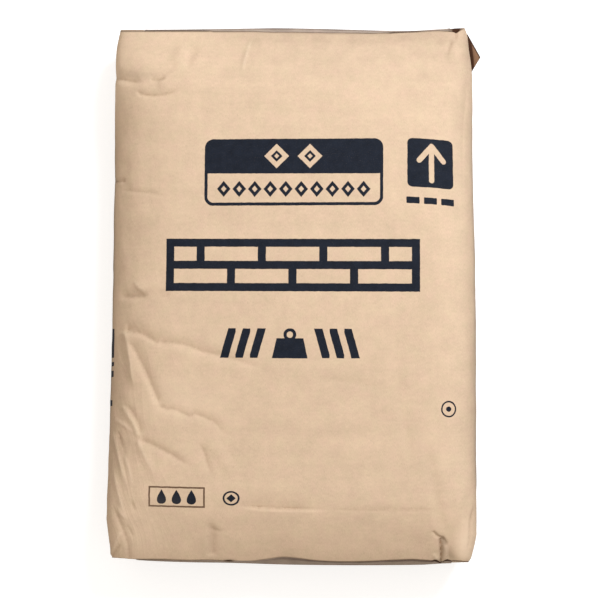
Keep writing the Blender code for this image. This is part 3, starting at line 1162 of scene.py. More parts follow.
    def end_folds(self, cube: np.ndarray, points: np.ndarray) -> np.ndarray:
        """How far the end walls' plies stand out: soft waves, and the flaps folded in at the corners.

        Args:
            cube: Each vertex's place on the cube.
            points: Each vertex's place on the bag.

        Returns:
            The lift of each vertex, in metres.
        """
        on_end = abs(cube[:, 1]) > AT_EDGE
        calm = 1.0 - abs(cube[:, 2]) ** 6
        found = np.zeros(len(cube))
        waves = [noise.fractal(Vector(p) / 0.032, 0.9, 2.1, 3) for p in points[on_end]]
        found[on_end] = self.end_waves * np.array(waves) * calm[on_end]
        from_corner = self.form.width / 2 - 0.004 - abs(points[:, 0] - self.form.middle_x)
        beyond = from_corner - 1.05 * abs(points[:, 2] - self.form.mid_height + 0.004)
        return found + on_end * self.ply * ease(beyond / 0.004) * calm


@dataclass
class Wrinkles:
    """Movements of the paper, kept on a lattice over the cube."""

    lattice: np.ndarray

    @classmethod
    def on_lattice(cls, cuts: tuple[int, int, int], cube: np.ndarray, moved: np.ndarray) -> Wrinkles:
        """Puts the movements of a cage's vertices on the lattice that the cage has.

        Args:
            cuts: The cage's divisions along X, Y and Z.
            cube: The vertices' places on the cube, one in a row.
            moved: The vertices' movements, one in a row.

        Returns:
            The wrinkles.
        """
        lattice = np.zeros((cuts[0] + 1, cuts[1] + 1, cuts[2] + 1, 3))
        place = np.round((cube + 1.0) / 2.0 * np.array(cuts)).astype(int)
        lattice[place[:, 0], place[:, 1], place[:, 2]] = moved
        return cls(lattice)

    def at(self, cube: np.ndarray) -> np.ndarray:
        """The movements at points on the cube, smooth between the lattice's points.

        Args:
            cube: Points on the cube, one in a row.

        Returns:
            Movements, one in a row.
        """
        cells = np.array(self.lattice.shape[:3]) - 1
        place = (cube + 1.0) / 2.0 * cells
        first = np.minimum(np.floor(place).astype(int), cells - 1)
        part = place - first
        found = np.zeros((len(cube), 3))
        for corner in np.ndindex(4, 4, 4):
            step = np.array(corner) - 1
            weight = np.prod([self.spline(part[:, axis], corner[axis]) for axis in range(3)], axis=0)
            index = self.held_on_face(first, part, step, cells)
            found += weight[:, None] * self.lattice[index[:, 0], index[:, 1], index[:, 2]]
        return found

    @staticmethod
    def spline(part: np.ndarray, which: int) -> np.ndarray:
        """The weight of one of the four points that a smooth curve is drawn between."""
        shares = ((0, -1, 2, -1), (2, 0, -5, 3), (0, 1, 4, -3), (0, 0, -1, 1))[which]
        return 0.5 * sum(share * part**power for power, share in enumerate(shares))

    @staticmethod
    def held_on_face(first: np.ndarray, part: np.ndarray, step: np.ndarray, cells: np.ndarray) -> np.ndarray:
        """The lattice point a step away, kept on the cube's surface where the point itself is on it."""
        index = np.clip(first + step, 0, cells)
        on_low = (first == 0) & (part < 1e-4)
        on_high = (first == cells - 1) & (part > 1.0 - 1e-4)
        index = np.where(on_low, 0, index)
        return np.where(on_high, cells, index)


def fine_part(piece: Piece, moved: np.ndarray, rounds: int = 60, calm: int = 2) -> np.ndarray:
    """What is left of a movement when its broad part and its smallest ripples are taken off.

    Args:
        piece: The piece whose vertices moved.
        moved: How far each vertex moved, one in a row.
        rounds: How often each vertex is drawn to the mean of its neighbours to find the broad part.
        calm: After how many rounds the smallest ripples are gone.

    Returns:
        The fine part, one in a row.
    """
    a, b = gather(piece.data.edges, "vertices", 2, np.int32).T
    count = np.bincount(a, minlength=len(moved)) + np.bincount(b, minlength=len(moved))
    broad = moved.copy()
    calmed = moved
    for step in range(rounds):
        total = np.zeros_like(broad)
        np.add.at(total, a, broad[b])
        np.add.at(total, b, broad[a])
        broad = 0.5 * (broad + total / count[:, None])
        if step + 1 == calm:
            calmed = broad
    return calmed - broad


@dataclass(frozen=True, eq=False)
class Wire:
    """A value that nodes work out. A plain sign puts one more node behind it."""

    desk: NodeDesk
    socket: bpy.types.NodeSocket

    def __add__(self, other: Feed) -> Wire:
        """The sum of two values."""
        return self.desk.math("ADD", self, other)

    def __sub__(self, other: Feed) -> Wire:
        """What is left when another value is taken off."""
        return self.desk.math("SUBTRACT", self, other)

    def __rsub__(self, other: Feed) -> Wire:
        """What is left when this value is taken off a number."""
        return self.desk.math("SUBTRACT", other, self)

    def __mul__(self, other: Feed) -> Wire:
        """The product of two values."""
        return self.desk.math("MULTIPLY", self, other)

    def __truediv__(self, other: Feed) -> Wire:
        """This value divided by another."""
        return self.desk.math("DIVIDE", self, other)

    def __abs__(self) -> Wire:
        """The value without its sign."""
        return self.desk.math("ABSOLUTE", self)

    def __round__(self) -> Wire:
        """The nearest whole number."""
        return self.desk.math("ROUND", self)

    def most(self, other: Feed) -> Wire:
        """The larger of two values."""
        return self.desk.math("MAXIMUM", self, other)

    def least(self, other: Feed) -> Wire:
        """The smaller of two values."""
        return self.desk.math("MINIMUM", self, other)

    def hypot(self, other: Wire) -> Wire:
        """The length of a step of this value one way and the other value across."""
        return self.desk.math("SQRT", self * self + other * other)


Feed = Wire | float | Sequence[float] | None
Spot = tuple[Wire, Wire]
Colour = tuple[float, float, float]


class SocketKind(Enum):
    """What a node group takes in or gives out."""

    VALUE = "NodeSocketFloat"
    VECTOR = "NodeSocketVector"
    RGBA = "NodeSocketColor"


@dataclass
class NodeDesk:
    """Puts nodes into one node tree and joins them."""

    tree: bpy.types.NodeTree

    @classmethod
    def group(cls, name: str, **takes: SocketKind | float) -> tuple[NodeDesk, dict[str, Wire]]:
        """Starts a node group.

        Args:
            name: The group's name.
            takes: Its inputs: their kind, or the value of a number that is usual for it.

        Returns:
            A desk for the group's nodes, and what the inputs bring in.
        """
        desk = cls(bpy.data.node_groups.new(name, "ShaderNodeTree"))
        for label, kind in takes.items():
            chosen = kind if isinstance(kind, SocketKind) else SocketKind.VALUE
            made = desk.tree.interface.new_socket(label, in_out="INPUT", socket_type=chosen.value)
            if chosen is not kind:
                made.default_value = kind
        return desk, desk.wires(desk.tree.nodes.new("NodeGroupInput"))

    def give(self, **values: Wire) -> bpy.types.NodeTree:
        """Ends a node group with its outputs, by their names."""
        for label, value in values.items():
            kind = SocketKind[value.socket.type]
            self.tree.interface.new_socket(label, in_out="OUTPUT", socket_type=kind.value)
        self.feed(self.tree.nodes.new("NodeGroupOutput"), **values)
        return self.tree

    def wires(self, node: bpy.types.Node) -> dict[str, Wire]:
        """What a node gives out, by name."""
        return {socket.name: Wire(self, socket) for socket in node.outputs if socket.enabled}

    def put(self, kind: str, *feeds: Feed, **settings: object) -> bpy.types.Node:
        """Adds a node.

        Args:
            kind: The node's type, without the word that all shader nodes begin with.
            feeds: What feeds its inputs, in their order. None leaves one as it is.
            settings: Values for its properties.

        Returns:
            The node.
        """
        made = self.tree.nodes.new("ShaderNode" + kind)
        for name, value in settings.items():
            setattr(made, name, value)
        for socket, value in zip(made.inputs, feeds):
            self.set(socket, value)
        return made

    def set(self, socket: bpy.types.NodeSocket, value: Feed) -> None:
        """Joins a socket to another one, or sets its own value."""
        if isinstance(value, Wire):
            self.tree.links.new(value.socket, socket)
        elif value is not None:
            socket.default_value = (*value, 1.0) if socket.type == "RGBA" else value

    def feed(self, node: bpy.types.Node, **values: Feed) -> bpy.types.Node:
        """Feeds a node's inputs by their names, with underscores for spaces."""
        for name, value in values.items():
            self.set(node.inputs[name.replace("_", " ")], value)
        return node

    def use(self, group: bpy.types.NodeTree, **values: Feed) -> dict[str, Wire]:
        """Places a node group, feeds it, and gives what comes out of it."""
        return self.wires(self.feed(self.put("Group", node_tree=group), **values))

    def math(self, operation: str, *values: Feed, clamp: bool = False) -> Wire:
        """The result of a sum on numbers, or on vectors where the first value is one.

        Args:
            operation: The name of the sum.
            values: What it is done on.
            clamp: Whether a number is kept between 0 and 1.

        Returns:
            The result.
        """
        first = values[0]
        if isinstance(first, Wire) and first.socket.type in ("VECTOR", "RGBA"):
            return Wire(self, self.put("VectorMath", *values, operation=operation).outputs[0])
        return Wire(self, self.put("Math", *values, operation=operation, use_clamp=clamp).outputs[0])

    def split(self, vector: Wire) -> tuple[Wire, ...]:
        """The three parts of a vector."""
        return tuple(self.wires(self.put("SeparateXYZ", vector)).values())

    def join(self, x: Feed, y: Feed, z: Feed = 0.0) -> Wire:
        """A vector of three numbers."""
        return Wire(self, self.put("CombineXYZ", x, y, z).outputs[0])

    def blend(self, share: Feed, first: Feed, second: Feed) -> Wire:
        """A colour between two others: the first where the share is 0, and the second where it is 1."""
        unused = [None] * 5
        return Wire(self, self.put("Mix", share, *unused, first, second, data_type="RGBA").outputs[2])

    def spread(self, value: Wire, low: float, high: float, to_low: float, to_high: float) -> Wire:
        """A number moved from one range to another, and kept in it."""
        return Wire(self, self.put("MapRange", value, low, high, to_low, to_high, clamp=True).outputs[0])

    def cloud(self, place: Wire, scale: float, detail: float = 3.0, rough: float = 0.6) -> Wire:
        """Soft noise from 0 to 1, with so many patches in a metre and so many finer noises added."""
        return Wire(self, self.put("TexNoise", place, None, scale, detail, rough).outputs[0])

    def attribute(self, name: str, output: str) -> Wire:
        """What an attribute of the mesh holds."""
        made = self.put("Attribute", attribute_type="GEOMETRY", attribute_name=name)
        return Wire(self, made.outputs[output])

    def bump(self, height: Wire, strength: float, depth: float) -> Wire:
        """The normals of a surface with small relief, of the depth given in metres."""
        made = self.feed(self.put("Bump"), Strength=strength, Distance=depth, Height=height)
        return Wire(self, made.outputs["Normal"])


def shade(colour: Colour, share: float) -> Colour:
    """A colour made darker or paler by a share."""
    return tuple(part * share for part in colour)


def new_material(name: str) -> tuple[bpy.types.Material, NodeDesk, bpy.types.Node]:
    """A new material, a desk for its nodes, and its shader."""
    made = bpy.data.materials.new(name)
    made.use_nodes = True
    return made, NodeDesk(made.node_tree), made.node_tree.nodes["Principled BSDF"]


@dataclass
class SackPrint:
    """The print. Its shapes are placed and sized by the photograph's pixels.

    They are plain and generic: a framed panel with a solid head and diamonds, an arrow for the end
    that is opened, courses of bricks, a weight between slanted bars, and drops in a frame. A box is
    given by its left, upper, right and lower edge, and a row of like shapes by the middles of its
    first and last one and their level.
    """

    view: PhotoView
    form: BagForm
    softness: float = 0.00035
    panel: Box = (203.5, 138.0, 383.8, 206.0)
    head_bottom: float = 173.4
    head_marks: tuple[float, float, float] = (276.5, 310.2, 156.0)
    row_marks: tuple[float, float, float] = (223.0, 364.0, 188.9)
    arrow_box: Box = (407.3, 138.4, 454.7, 187.9)
    arrow_tip: Point = (431.9, 146.2)
    arrow_foot: Point = (431.9, 180.3)
    arrow_barb: Point = (419.4, 160.6)
    arrow_lean: float = -0.05
    dashes: tuple[float, float, float] = (413.0, 448.4, 200.8)
    wall: Box = (165.0, 238.5, 420.0, 291.5)
    joint: float = 8.2
    bars: Box = (219.6, 328.5, 360.0, 358.0)
    frame: Box = (148.2, 486.7, 204.7, 507.2)
    frame_lean: float = -0.016
    drops: tuple[float, float, float] = (161.5, 191.3, 496.9)
    low_ring: Point = (231.0, 498.4)
    side_ring: Point = (448.4, 409.2)
    desk: NodeDesk = field(init=False)
    x: Wire = field(init=False)
    y: Wire = field(init=False)

    def at(self, x: float, y: float) -> Point:
        """The place on the flat paper that shows at a pixel, in metres."""
        spot = self.view.on_level([(x, y)], self.form.height)[0]
        return spot[0] - self.form.middle_x, spot[1]

    @property
    def per_metre(self) -> float:
        """The pixels in a metre of the upper face."""
        return self.view.focal_pixels / (self.view.distance - self.form.height / 2)

    def make(self) -> bpy.types.NodeTree:
        """Makes the node group of the whole print.

        Returns:
            A group that gives how much ink there is, and how much of it is the thin brown line.
        """
        self.desk, given = NodeDesk.group("print_of_the_sack", Sheet=SocketKind.VECTOR)
        across, along, on_end = self.desk.split(given["Sheet"])
        flat = self.desk.join(across, along)
        wobble = self.desk.put("TexNoise", flat, None, 160.0, 3.0, noise_dimensions="2D")
        drift = (self.desk.wires(wobble)["Color"] - (0.5, 0.5, 0.5)) * (0.0006, 0.0007, 0.0)
        self.x, self.y, _ = self.desk.split(flat + drift)
        total = self.draw_panel()
        for draw in (
            self.draw_arrow, self.draw_wall, self.draw_weight, self.draw_drops, self.draw_rings,
            self.draw_side_bars,
        ):
            total = total.most(draw())
        frame = self.box(self.around_box(self.frame, self.frame_lean), self.half(self.frame), 0.6)
        return self.desk.give(Ink=total * (1.0 - on_end), Line=self.line(frame, 1.7))

    def around(self, x: float, y: float, lean: float = 0.0) -> Spot:
        """Where the paper lies from a pixel's own place, in pixels to the right and upwards.

        Args:
            x: How far right the pixel is.
            y: How far down it is.
            lean: How much level lines rise for each pixel to the right.

        Returns:
            The two distances.
        """
        middle_x, middle_y = self.at(x, y)
        right = (self.x - middle_x) * self.per_metre
        return right, (self.y - middle_y) * self.per_metre - right * lean

    def around_box(self, box: Sequence[float], lean: float = 0.0) -> Spot:
        """Where the paper lies from the middle of a box."""
        return self.around((box[0] + box[2]) / 2, (box[1] + box[3]) / 2, lean)

    def half(self, box: Sequence[float]) -> Point:
        """Half the width and half the height of a box."""
        return (box[2] - box[0]) / 2, (box[3] - box[1]) / 2

    def in_row(self, row: Sequence[float], steps: int, lean: float = 0.0) -> Spot:
        """Where the paper lies from the nearest middle of a row, which takes so many steps."""
        x, y = self.around((row[0] + row[1]) / 2, row[2], lean)
        return self.nearest(x, (row[1] - row[0]) / steps, steps), y

    def nearest(self, x: Wire, pitch: float, steps: int) -> Wire:
        """How far a place is from the nearest of several even places, whose middle is at 0."""
        which = round(x / pitch + steps / 2).most(0.0).least(steps)
        return x - (which - steps / 2) * pitch

    def ink(self, distance: Wire) -> Wire:
        """1 inside a shape and 0 outside, from the distance to its edge."""
        softness = self.softness * self.per_metre
        return self.desk.math("MULTIPLY_ADD", distance, -1.0 / softness, 0.5, clamp=True)

    def line(self, distance: Wire, width: float) -> Wire:
        """1 in a line along the inside of a shape's edge, and 0 elsewhere."""
        return self.ink(abs(distance + width / 2) - width / 2)

    def box(self, spot: Spot, half: Sequence[float], corner: float = 0.0) -> Wire:
        """The distance to a box with rounded corners."""
        x, y = (abs(part) - (reach - corner) for part, reach in zip(spot, half))
        return x.most(0.0).hypot(y.most(0.0)) + x.most(y).least(0.0) - corner

    def diamond(self, spot: Spot, half_x: float, half_y: float) -> Wire:
        """The distance to a square on its corner, stretched to its half width and half height."""
        return (abs(spot[0]) / half_x + abs(spot[1]) / half_y - 1.0) * (half_x * 0.7)

    def stroke(self, spot: Spot, end: np.ndarray, radius: float) -> Wire:
        """The distance to a straight stroke with round ends, from the middle to its end."""
        x, y = spot
        along = (x * end[0] + y * end[1]) / float(end @ end)
        share = along.most(0.0).least(1.0)
        return (x - share * end[0]).hypot(y - share * end[1]) - radius

    def draw_panel(self) -> Wire:
        """The framed panel with its solid head, two light diamonds and a row of small dark ones."""
        frame = self.box(self.around_box(self.panel, 0.004), self.half(self.panel), 9.0)
        above = self.around(300, self.head_bottom)[1]
        pair = self.in_row(self.head_marks, 1)
        light = self.line(self.diamond(pair, 12.5, 12.5), 4.6).most(self.ink(self.diamond(pair, 2.6, 2.6)))
        head = self.ink(0.0 - above) * self.ink(frame) * (1.0 - light)
        small = self.line(self.diamond(self.in_row(self.row_marks, 9), 6.9, 8.2), 2.9)
        return head.most(self.line(frame, 3.2)).most(small)

    def draw_arrow(self) -> Wire:
        """The dark square with its light arrow, and three dashes below."""
        box = self.box(self.around_box(self.arrow_box, self.arrow_lean), self.half(self.arrow_box), 5.2)
        x, y = self.around(*self.arrow_tip, self.arrow_lean)
        tip, foot, barb = (np.array(self.at(*p)) for p in (self.arrow_tip, self.arrow_foot, self.arrow_barb))
        shaft = self.stroke((abs(x), y), (foot - tip) * (0.0, self.per_metre), 2.75)
        head = self.stroke((abs(x), y), (barb - tip) * (-self.per_metre, self.per_metre), 2.75)
        dash = self.box(self.in_row(self.dashes, 2, self.arrow_lean), (6.6, 3.3), 0.8)
        return (self.ink(box) * (1.0 - self.ink(shaft).most(self.ink(head)))).most(self.ink(dash))

    def draw_wall(self) -> Wire:
        """Two courses of bricks in running bond, drawn as bold joints."""
        x, y = self.around_box(self.wall)
        half_x, half_y = self.half(self.wall)
        joint = self.joint
        brick, course = (half_x * 2 - joint) / 4, (half_y * 2 - joint) / 2
        level = (y + (half_y - joint / 2)) / course
        odd = self.desk.math("MODULO", self.desk.math("FLOOR", level + 20.0), 2.0)
        upright = (x + (half_x - joint / 2)) / brick + odd * 0.5
        off = (abs(level - round(level)) * course).least(abs(upright - round(upright)) * brick)
        off = off.least(abs((half_x - joint / 2) - abs(x)))
        return self.ink(off - joint / 2) * self.ink((abs(x) - half_x).most(abs(y) - half_y))

    def draw_weight(self) -> Wire:
        """A plain weight with a ring on it, between slanted bars."""
        x, y = self.around_box(self.bars)
        bar = self.nearest(abs(x) - 47.0, 14.6, 2) + y * 0.28
        weight = (abs(x) - (14.5 - y * 0.22)).most(abs(y + 5.0) - 10.0)
        ring = x.hypot(y - 8.6) - 6.4
        bars = self.ink(self.box((bar, y), (4.2, self.half(self.bars)[1])))
        return self.ink(weight).most(self.line(ring, 3.2)).most(bars)

    def draw_drops(self) -> Wire:
        """Three drops of water in the small frame, with their points up."""
        x, y = self.in_row(self.drops, 2, self.frame_lean)
        half_x, half_y = 4.6, 7.2
        down = self.desk.math("MULTIPLY_ADD", y / half_y, -0.5, 0.5, clamp=True)
        edge = down * self.desk.math("SQRT", 1.0 - down * down) * (2.0 * half_x)
        return self.ink((abs(x) - edge).most(abs(y) - half_y))

    def draw_rings(self) -> Wire:
        """The two small rings, each with a shape in it."""
        x, y = self.around(*self.low_ring)
        low = self.line((x * 0.85).hypot(y) - 7.2, 1.7).most(self.ink(self.diamond((x, y), 4.6, 4.0)))
        x, y = self.around(*self.side_ring)
        return low.most(self.line((x * 1.1).hypot(y) - 8.2, 1.6)).most(self.ink(x.hypot(y) - 2.6))

    def draw_side_bars(self) -> Wire:
        """Plain bars on the left side, whose upper edges show in the photograph."""
        edge = -(self.form.rim_share * self.form.width / 2) - 0.0248
        found = None
        for row, half_height, nearer in (
            (342.0, 15.0, 0.0), (363.5, 2.2, 0.0012), (373.5, 3.2, 0.0012), (403.5, 3.0, -0.0005)
        ):
            x = (self.x - (edge + nearer)) * self.per_metre
            half = (0.009 * self.per_metre, half_height)
            bar = self.ink(self.box((x, self.around(112, row)[1]), half, 0.001 * self.per_metre))
            found = bar if found is None else found.most(bar)
        return found


@dataclass
class PaperGroups:
    """The node groups that every paper on the bag uses."""

    kraft: bpy.types.NodeTree = field(init=False)
    soil: bpy.types.NodeTree = field(init=False)
    rubbed: Colour = (0.93, 0.78, 0.60)
    # Dirt and painted shade in the valleys of the creases.
    valley_dirt: Colour = (0.22, 0.13, 0.075)
    # Painted shade on the end walls, the face and the side walls, and painted light that makes the paper paler.
    end_soil: Colour = (0.043, 0.017, 0.008)
    face_soil: Colour = (0.075, 0.052, 0.034)
    side_soil: Colour = (0.040, 0.052, 0.062)
    dust: Colour = (0.95, 0.74, 0.54)

    def __post_init__(self) -> None:
        """Makes the groups."""
        self.kraft = self.make_kraft()
        self.soil = self.make_soil()

    def make_kraft(self) -> bpy.types.NodeTree:
        """Kraft paper with its fibres, cloudiness and faint roller bands, the wear of its ridges, and dirt with
        painted shade in its valleys.

        Returns:
            A group that gives the paper's colour, its height and its roughness.
        """
        desk, given = NodeDesk.group(
            "kraft_paper", Place=SocketKind.VECTOR, Colour=SocketKind.RGBA, Crease=0.0, Cloud=0.06,
            Fibre=0.06, Bands=0.03, Roughness=0.78,
        )
        place = given["Place"]
        mottle = desk.cloud(place * (0.75, 1.0, 1.0), 240.0, 4.0, 0.65)
        fibres = desk.cloud(place * (1.0, 0.28, 1.0), 1500.0)
        value = 1.0
        for each, share, factor in (
            (desk.cloud(place, 16.0, 4.0), "Cloud", 1.5),
            (desk.cloud(place, 52.0, 3.0, 0.55), "Cloud", 1.8),
            (mottle, "Cloud", 1.7),
            (fibres, "Fibre", 3.0),
            (desk.cloud(place * (0.03, 1.0, 1.0), 85.0, 5.0), "Bands", 2.4),
            (desk.cloud(place * (1.0, 0.09, 1.0), 210.0), "Bands", 1.3),
        ):
            value = (each - 0.5) * (given[share] * factor) + value
        flecks = desk.cloud(place * (1.0, 0.35, 1.0), 700.0, 2.0, 0.5)
        value = value - desk.spread(flecks, 0.64, 0.74, 0.0, 1.0) * given["Fibre"]
        shaded = given["Colour"] * desk.join(value, value, value)
        hue = desk.spread(desk.cloud(place + (3.1, 1.7, 0.0), 70.0), 0.3, 0.7, 0.0, 1.0)
        colour = desk.blend(hue, shaded * (1.012, 0.985, 0.985), shaded * (0.988, 1.012, 0.965))
        broken = desk.spread(desk.cloud(place, 260.0), 0.3, 0.62, 0.35, 1.0)
        crease = given["Crease"]
        colour = desk.blend(crease.most(0.0) * 0.14 * broken, colour, self.rubbed)
        # Valley lines darker: dirt and painted shade.
        colour = desk.blend((crease * -1.0).most(0.0) * 0.3 * broken, colour, self.valley_dirt)
        height = fibres * 0.6 + mottle * 1.2 + self.wrinkles(desk, place) * 2.2
        return desk.give(Colour=colour, Height=height, Roughness=(mottle - 0.5) * 0.14 + given["Roughness"])

    def wrinkles(self, desk: NodeDesk, place: Wire) -> Wire:
        """Fine wrinkles that run down and to the right, strongest at the low left corner.

        Args:
            desk: The nodes that they are added to.
            place: The place on the paper.

        Returns:
            Their height, from 0 to 1.
        """
        across, along, _ = desk.split(place)
        beside = (desk.cloud(place, 9.0, 2.0, 0.5) - 0.5) * 0.05 + (across * 0.95 + along * 0.3)
        down = across * -0.3 + along * 0.95
        found = None
        for wide, long, sharp in ((75.0, 9.0, 9.0), (190.0, 24.0, 7.0)):
            fold = abs(desk.cloud(desk.join(beside * wide, down * long), 1.0, 1.0, 0.5) * 2.0 - 1.0)
            ridge = desk.math("POWER", (1.0 - fold).most(0.0), sharp) * (60.0 / wide)
            found = ridge if found is None else found + ridge
        left = desk.spread(across, -0.08, -0.19, 0.0, 1.0)
        low = desk.spread(along, 0.06, -0.16, 0.3, 1.0)
        return found * (left * low).most(0.1)

    def make_soil(self) -> bpy.types.NodeTree:
        """Painted shade where the mesh's attribute is above 0, and painted light, a paler colour, where it is below 0.

        Returns:
            A group that gives the colour with its painted shade and light.
        """
        desk, given = NodeDesk.group(
            "soiled_paper", Sheet=SocketKind.VECTOR, Colour=SocketKind.RGBA, Fold=0.0
        )
        across, _, on_end = desk.split(given["Sheet"])
        broken = desk.spread(desk.cloud(given["Sheet"], 130.0), 0.3, 0.6, 0.93, 1.0)
        beyond = desk.spread(abs(across), 0.188, 0.194, 0.0, 1.0)
        # Painted shade: darkest on the end walls, bluish grey on the side walls.
        soil = desk.blend(on_end, desk.blend(beyond, self.face_soil, self.side_soil), self.end_soil)
        colour = desk.blend(given["Fold"] * broken, given["Colour"], soil)
        return desk.give(Colour=desk.blend(given["Fold"] * -1.0, colour, self.dust))


@dataclass(frozen=True)
class PaperFinish:
    """A paper's finish: its colour, how cloudy and fibrous it is, how it shines, and the shade and light painted on
    it.
    """

    name: str
    colour: Colour
    cloud: float = 0.11
    fibre: float = 0.11
    bands: float = 0.045
    roughness: float = 0.78
    relief: float = 0.35
    printed: SackPrint | None = None
    ink: Colour = (0.0095, 0.0125, 0.0205)
    thin_line: Colour = (0.085, 0.042, 0.022)
    # Colours of the painted shade along the sides and the low end, and under the top fold.
    handled: Colour = (0.12, 0.055, 0.025)
    fold_shade: Colour = (0.06, 0.025, 0.012)
    edge_dark: float = 0.0

    def make(self, groups: PaperGroups) -> bpy.types.Material:
        """Makes the material.

        Args:
            groups: The papers' shared node groups.

        Returns:
            The material.
        """
        made, desk, shader = new_material(self.name)
        sheet = desk.attribute(SHEET, "Vector")
        paper = desk.use(
            groups.kraft, Place=sheet, Colour=self.colour, Crease=desk.attribute(CREASE, "Fac"),
            Cloud=self.cloud, Fibre=self.fibre, Bands=self.bands, Roughness=self.roughness,
        )
        colour, rough = paper["Colour"], paper["Roughness"]
        if self.printed:
            marks = desk.use(self.printed.make(), Sheet=sheet)
            ink = marks["Ink"] * desk.spread(desk.cloud(sheet, 900.0, 3.0, 0.7), 0.2, 0.42, 0.9, 1.0)
            patchy = desk.spread(desk.cloud(sheet, 120.0), 0.25, 0.75, 0.0, 1.0)
            colour = desk.blend(ink, colour, desk.blend(patchy, shade(self.ink, 0.82), shade(self.ink, 1.3)))
            colour = desk.blend(marks["Line"] * 0.9, colour, self.thin_line)
            rough = ink * -0.16 + rough
            # Painted shade along the sides, at the low end and under the top fold.
            colour = self.shade_handled(desk, self.printed, sheet, colour)
        if self.edge_dark:
            across = desk.split(sheet)[0]
            patches = desk.spread(desk.cloud(sheet, 45.0, 4.0), 0.45, 0.7, 0.0, self.edge_dark)
            share = patches * desk.spread(abs(across), 0.0, 0.2, 0.6, 1.0)
            colour = desk.blend(share, colour, shade(self.colour, 0.55))
        # Painted shade and painted light from the mesh's attribute.
        soiled = desk.use(groups.soil, Sheet=sheet, Colour=colour, Fold=desk.attribute(SOILED, "Fac"))
        normal = desk.bump(paper["Height"], self.relief, 0.0004)
        colour = soiled["Colour"]
        desk.feed(shader, Base_Color=colour, Roughness=rough, Specular_IOR_Level=0.08, Normal=normal)
        return made

    def shade_handled(self, desk: NodeDesk, plan: SackPrint, sheet: Wire, colour: Wire) -> Wire:
        """Paints shade on the paper along both sides, at the low end and under the top fold.

        Args:
            desk: The material's nodes.
            plan: Gives places on the paper from the photograph's pixels.
            sheet: The place on the paper.
            colour: The colour so far.

        Returns:
            The darkened colour.
        """
        across, along, on_end = desk.split(sheet)
        uneven = desk.spread(desk.cloud(sheet, 38.0, 4.0, 0.65), 0.3, 0.7, 0.6, 1.4)
        left, right, inner, outer = (
            desk.spread(across, plan.at(begin, 300)[0], plan.at(end, 300)[0], 0.0, most)
            for begin, end, most in ((152, 118, 1.0), (463, 475, 0.1), (205, 250, 0.85), (250, 440, 0.6))
        )
        upper, more, left_fade, right_fade, low, near, nearer = (
            desk.spread(along, plan.at(300, begin)[1], plan.at(300, end)[1], least, most)
            for begin, end, least, most in (
                (50, 115, 0.0, 0.03), (220, 430, 0.0, 2.0), (470, 530, 1.0, 0.35), (470, 530, 1.0, 0.2),
                (512, 556, 0.0, 0.03), (86, 54, 0.0, 0.09), (46, 37, 0.0, 0.08),
            )
        )
        left = left * upper
        left = (left + left * more) * left_fade
        # Painted shade along both sides and at the low end.
        colour = desk.blend((left.most(right * right_fade) + low) * uneven, colour, self.handled)
        # Painted shade under the top fold.
        share = (near + nearer) * ((inner + outer) * uneven) * (1.0 - on_end)
        return desk.blend(share, colour, self.fold_shade)


@dataclass(frozen=True)
class CementFinish:
    """Grey cement powder."""

    colour: Colour = (0.30, 0.30, 0.29)

    def make(self) -> bpy.types.Material:
        """Makes the material.

        Returns:
            The material.
        """
        made, desk, shader = new_material("cement_powder")
        place = Wire(desk, desk.put("TexCoord").outputs["Object"])
        lumps = desk.cloud(place, 60.0, 6.0, 0.65)
        grains = desk.cloud(place, 1400.0, 2.0)
        tone = desk.spread(lumps * 0.6 + grains * 0.4, 0.3, 0.7, 0.0, 1.0)
        desk.feed(
            shader, Base_Color=desk.blend(tone, shade(self.colour, 0.86), shade(self.colour, 1.14)),
            Roughness=desk.spread(grains, 0.3, 0.7, 0.88, 0.98),
            Normal=desk.bump(lumps + grains, 0.5, 0.0006),
        )
        return made


def hand_over(piece: Piece, finish: bpy.types.Material, slot: str, node: str) -> None:
    """Gives a piece its finish and says what it stands for.

    Args:
        piece: The piece.
        finish: Its material.
        slot: The record's slot that the finish belongs to.
        node: The CAD node that the piece stands for.
    """
    piece.data.materials.clear()
    piece.data.materials.append(finish)
    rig.replaces(piece, node)
    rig.ride(piece, "root")
    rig.slot(piece, slot)
    points = read_points(piece) / MM
    low, high = np.round(points.min(0), 1), np.round(points.max(0), 1)
    log.info("%s: %d faces, from %s to %s mm", piece.name, len(piece.data.polygons), low, high)


@dataclass
class EndStrip:
    """The kraft strip that is pasted over one end of the sack."""

    name: str
    sack: Piece
    sign: float
    sides: tuple[float, float]
    levels: tuple[float, float]
    gap: float = 0.0003
    paper: float = 0.0004

    def build(self) -> Piece:
        """Cuts the strip out of the end wall's own surface, so that it lies on every wave of it.

        Returns:
            The strip, not yet dressed.
        """
        make_active(self.sack)
        bpy.ops.object.duplicate()
        strip = bpy.context.object
        strip.name = strip.data.name = self.name
        cube = read_vectors(strip, CUBE_PLACE)
        corners = gather(strip.data.loops, "vertex_index", 1, np.int32)[:, 0]
        totals = gather(strip.data.polygons, "loop_total", 1, np.int32)[:, 0]
        on_end = (cube[:, 1] * self.sign > AT_EDGE).astype(int)
        starts = np.concatenate([[0], np.cumsum(totals)[:-1]])
        select_only(strip, np.add.reduceat(on_end[corners], starts) != totals, faces=True)
        with edit_mode():
            bpy.ops.mesh.delete(type="FACE")
            for place, away in (
                ((self.sides[0], 0, 0), (-1, 0, 0)), ((self.sides[1], 0, 0), (1, 0, 0)),
                ((0, 0, self.levels[0]), (0, 0, -1)), ((0, 0, self.levels[1]), (0, 0, 1)),
            ):
                bpy.ops.mesh.select_all(action="SELECT")
                bpy.ops.mesh.bisect(plane_co=place, plane_no=away, clear_outer=True)
        write_points(strip, read_points(strip) + read_normals(strip) * self.gap)
        walls = strip.modifiers.new("paper", "SOLIDIFY")
        walls.thickness = self.paper
        walls.offset = 1.0
        bpy.ops.object.modifier_apply(modifier=walls.name)
        bpy.ops.object.shade_smooth_by_angle(angle=math.radians(40))
        return strip


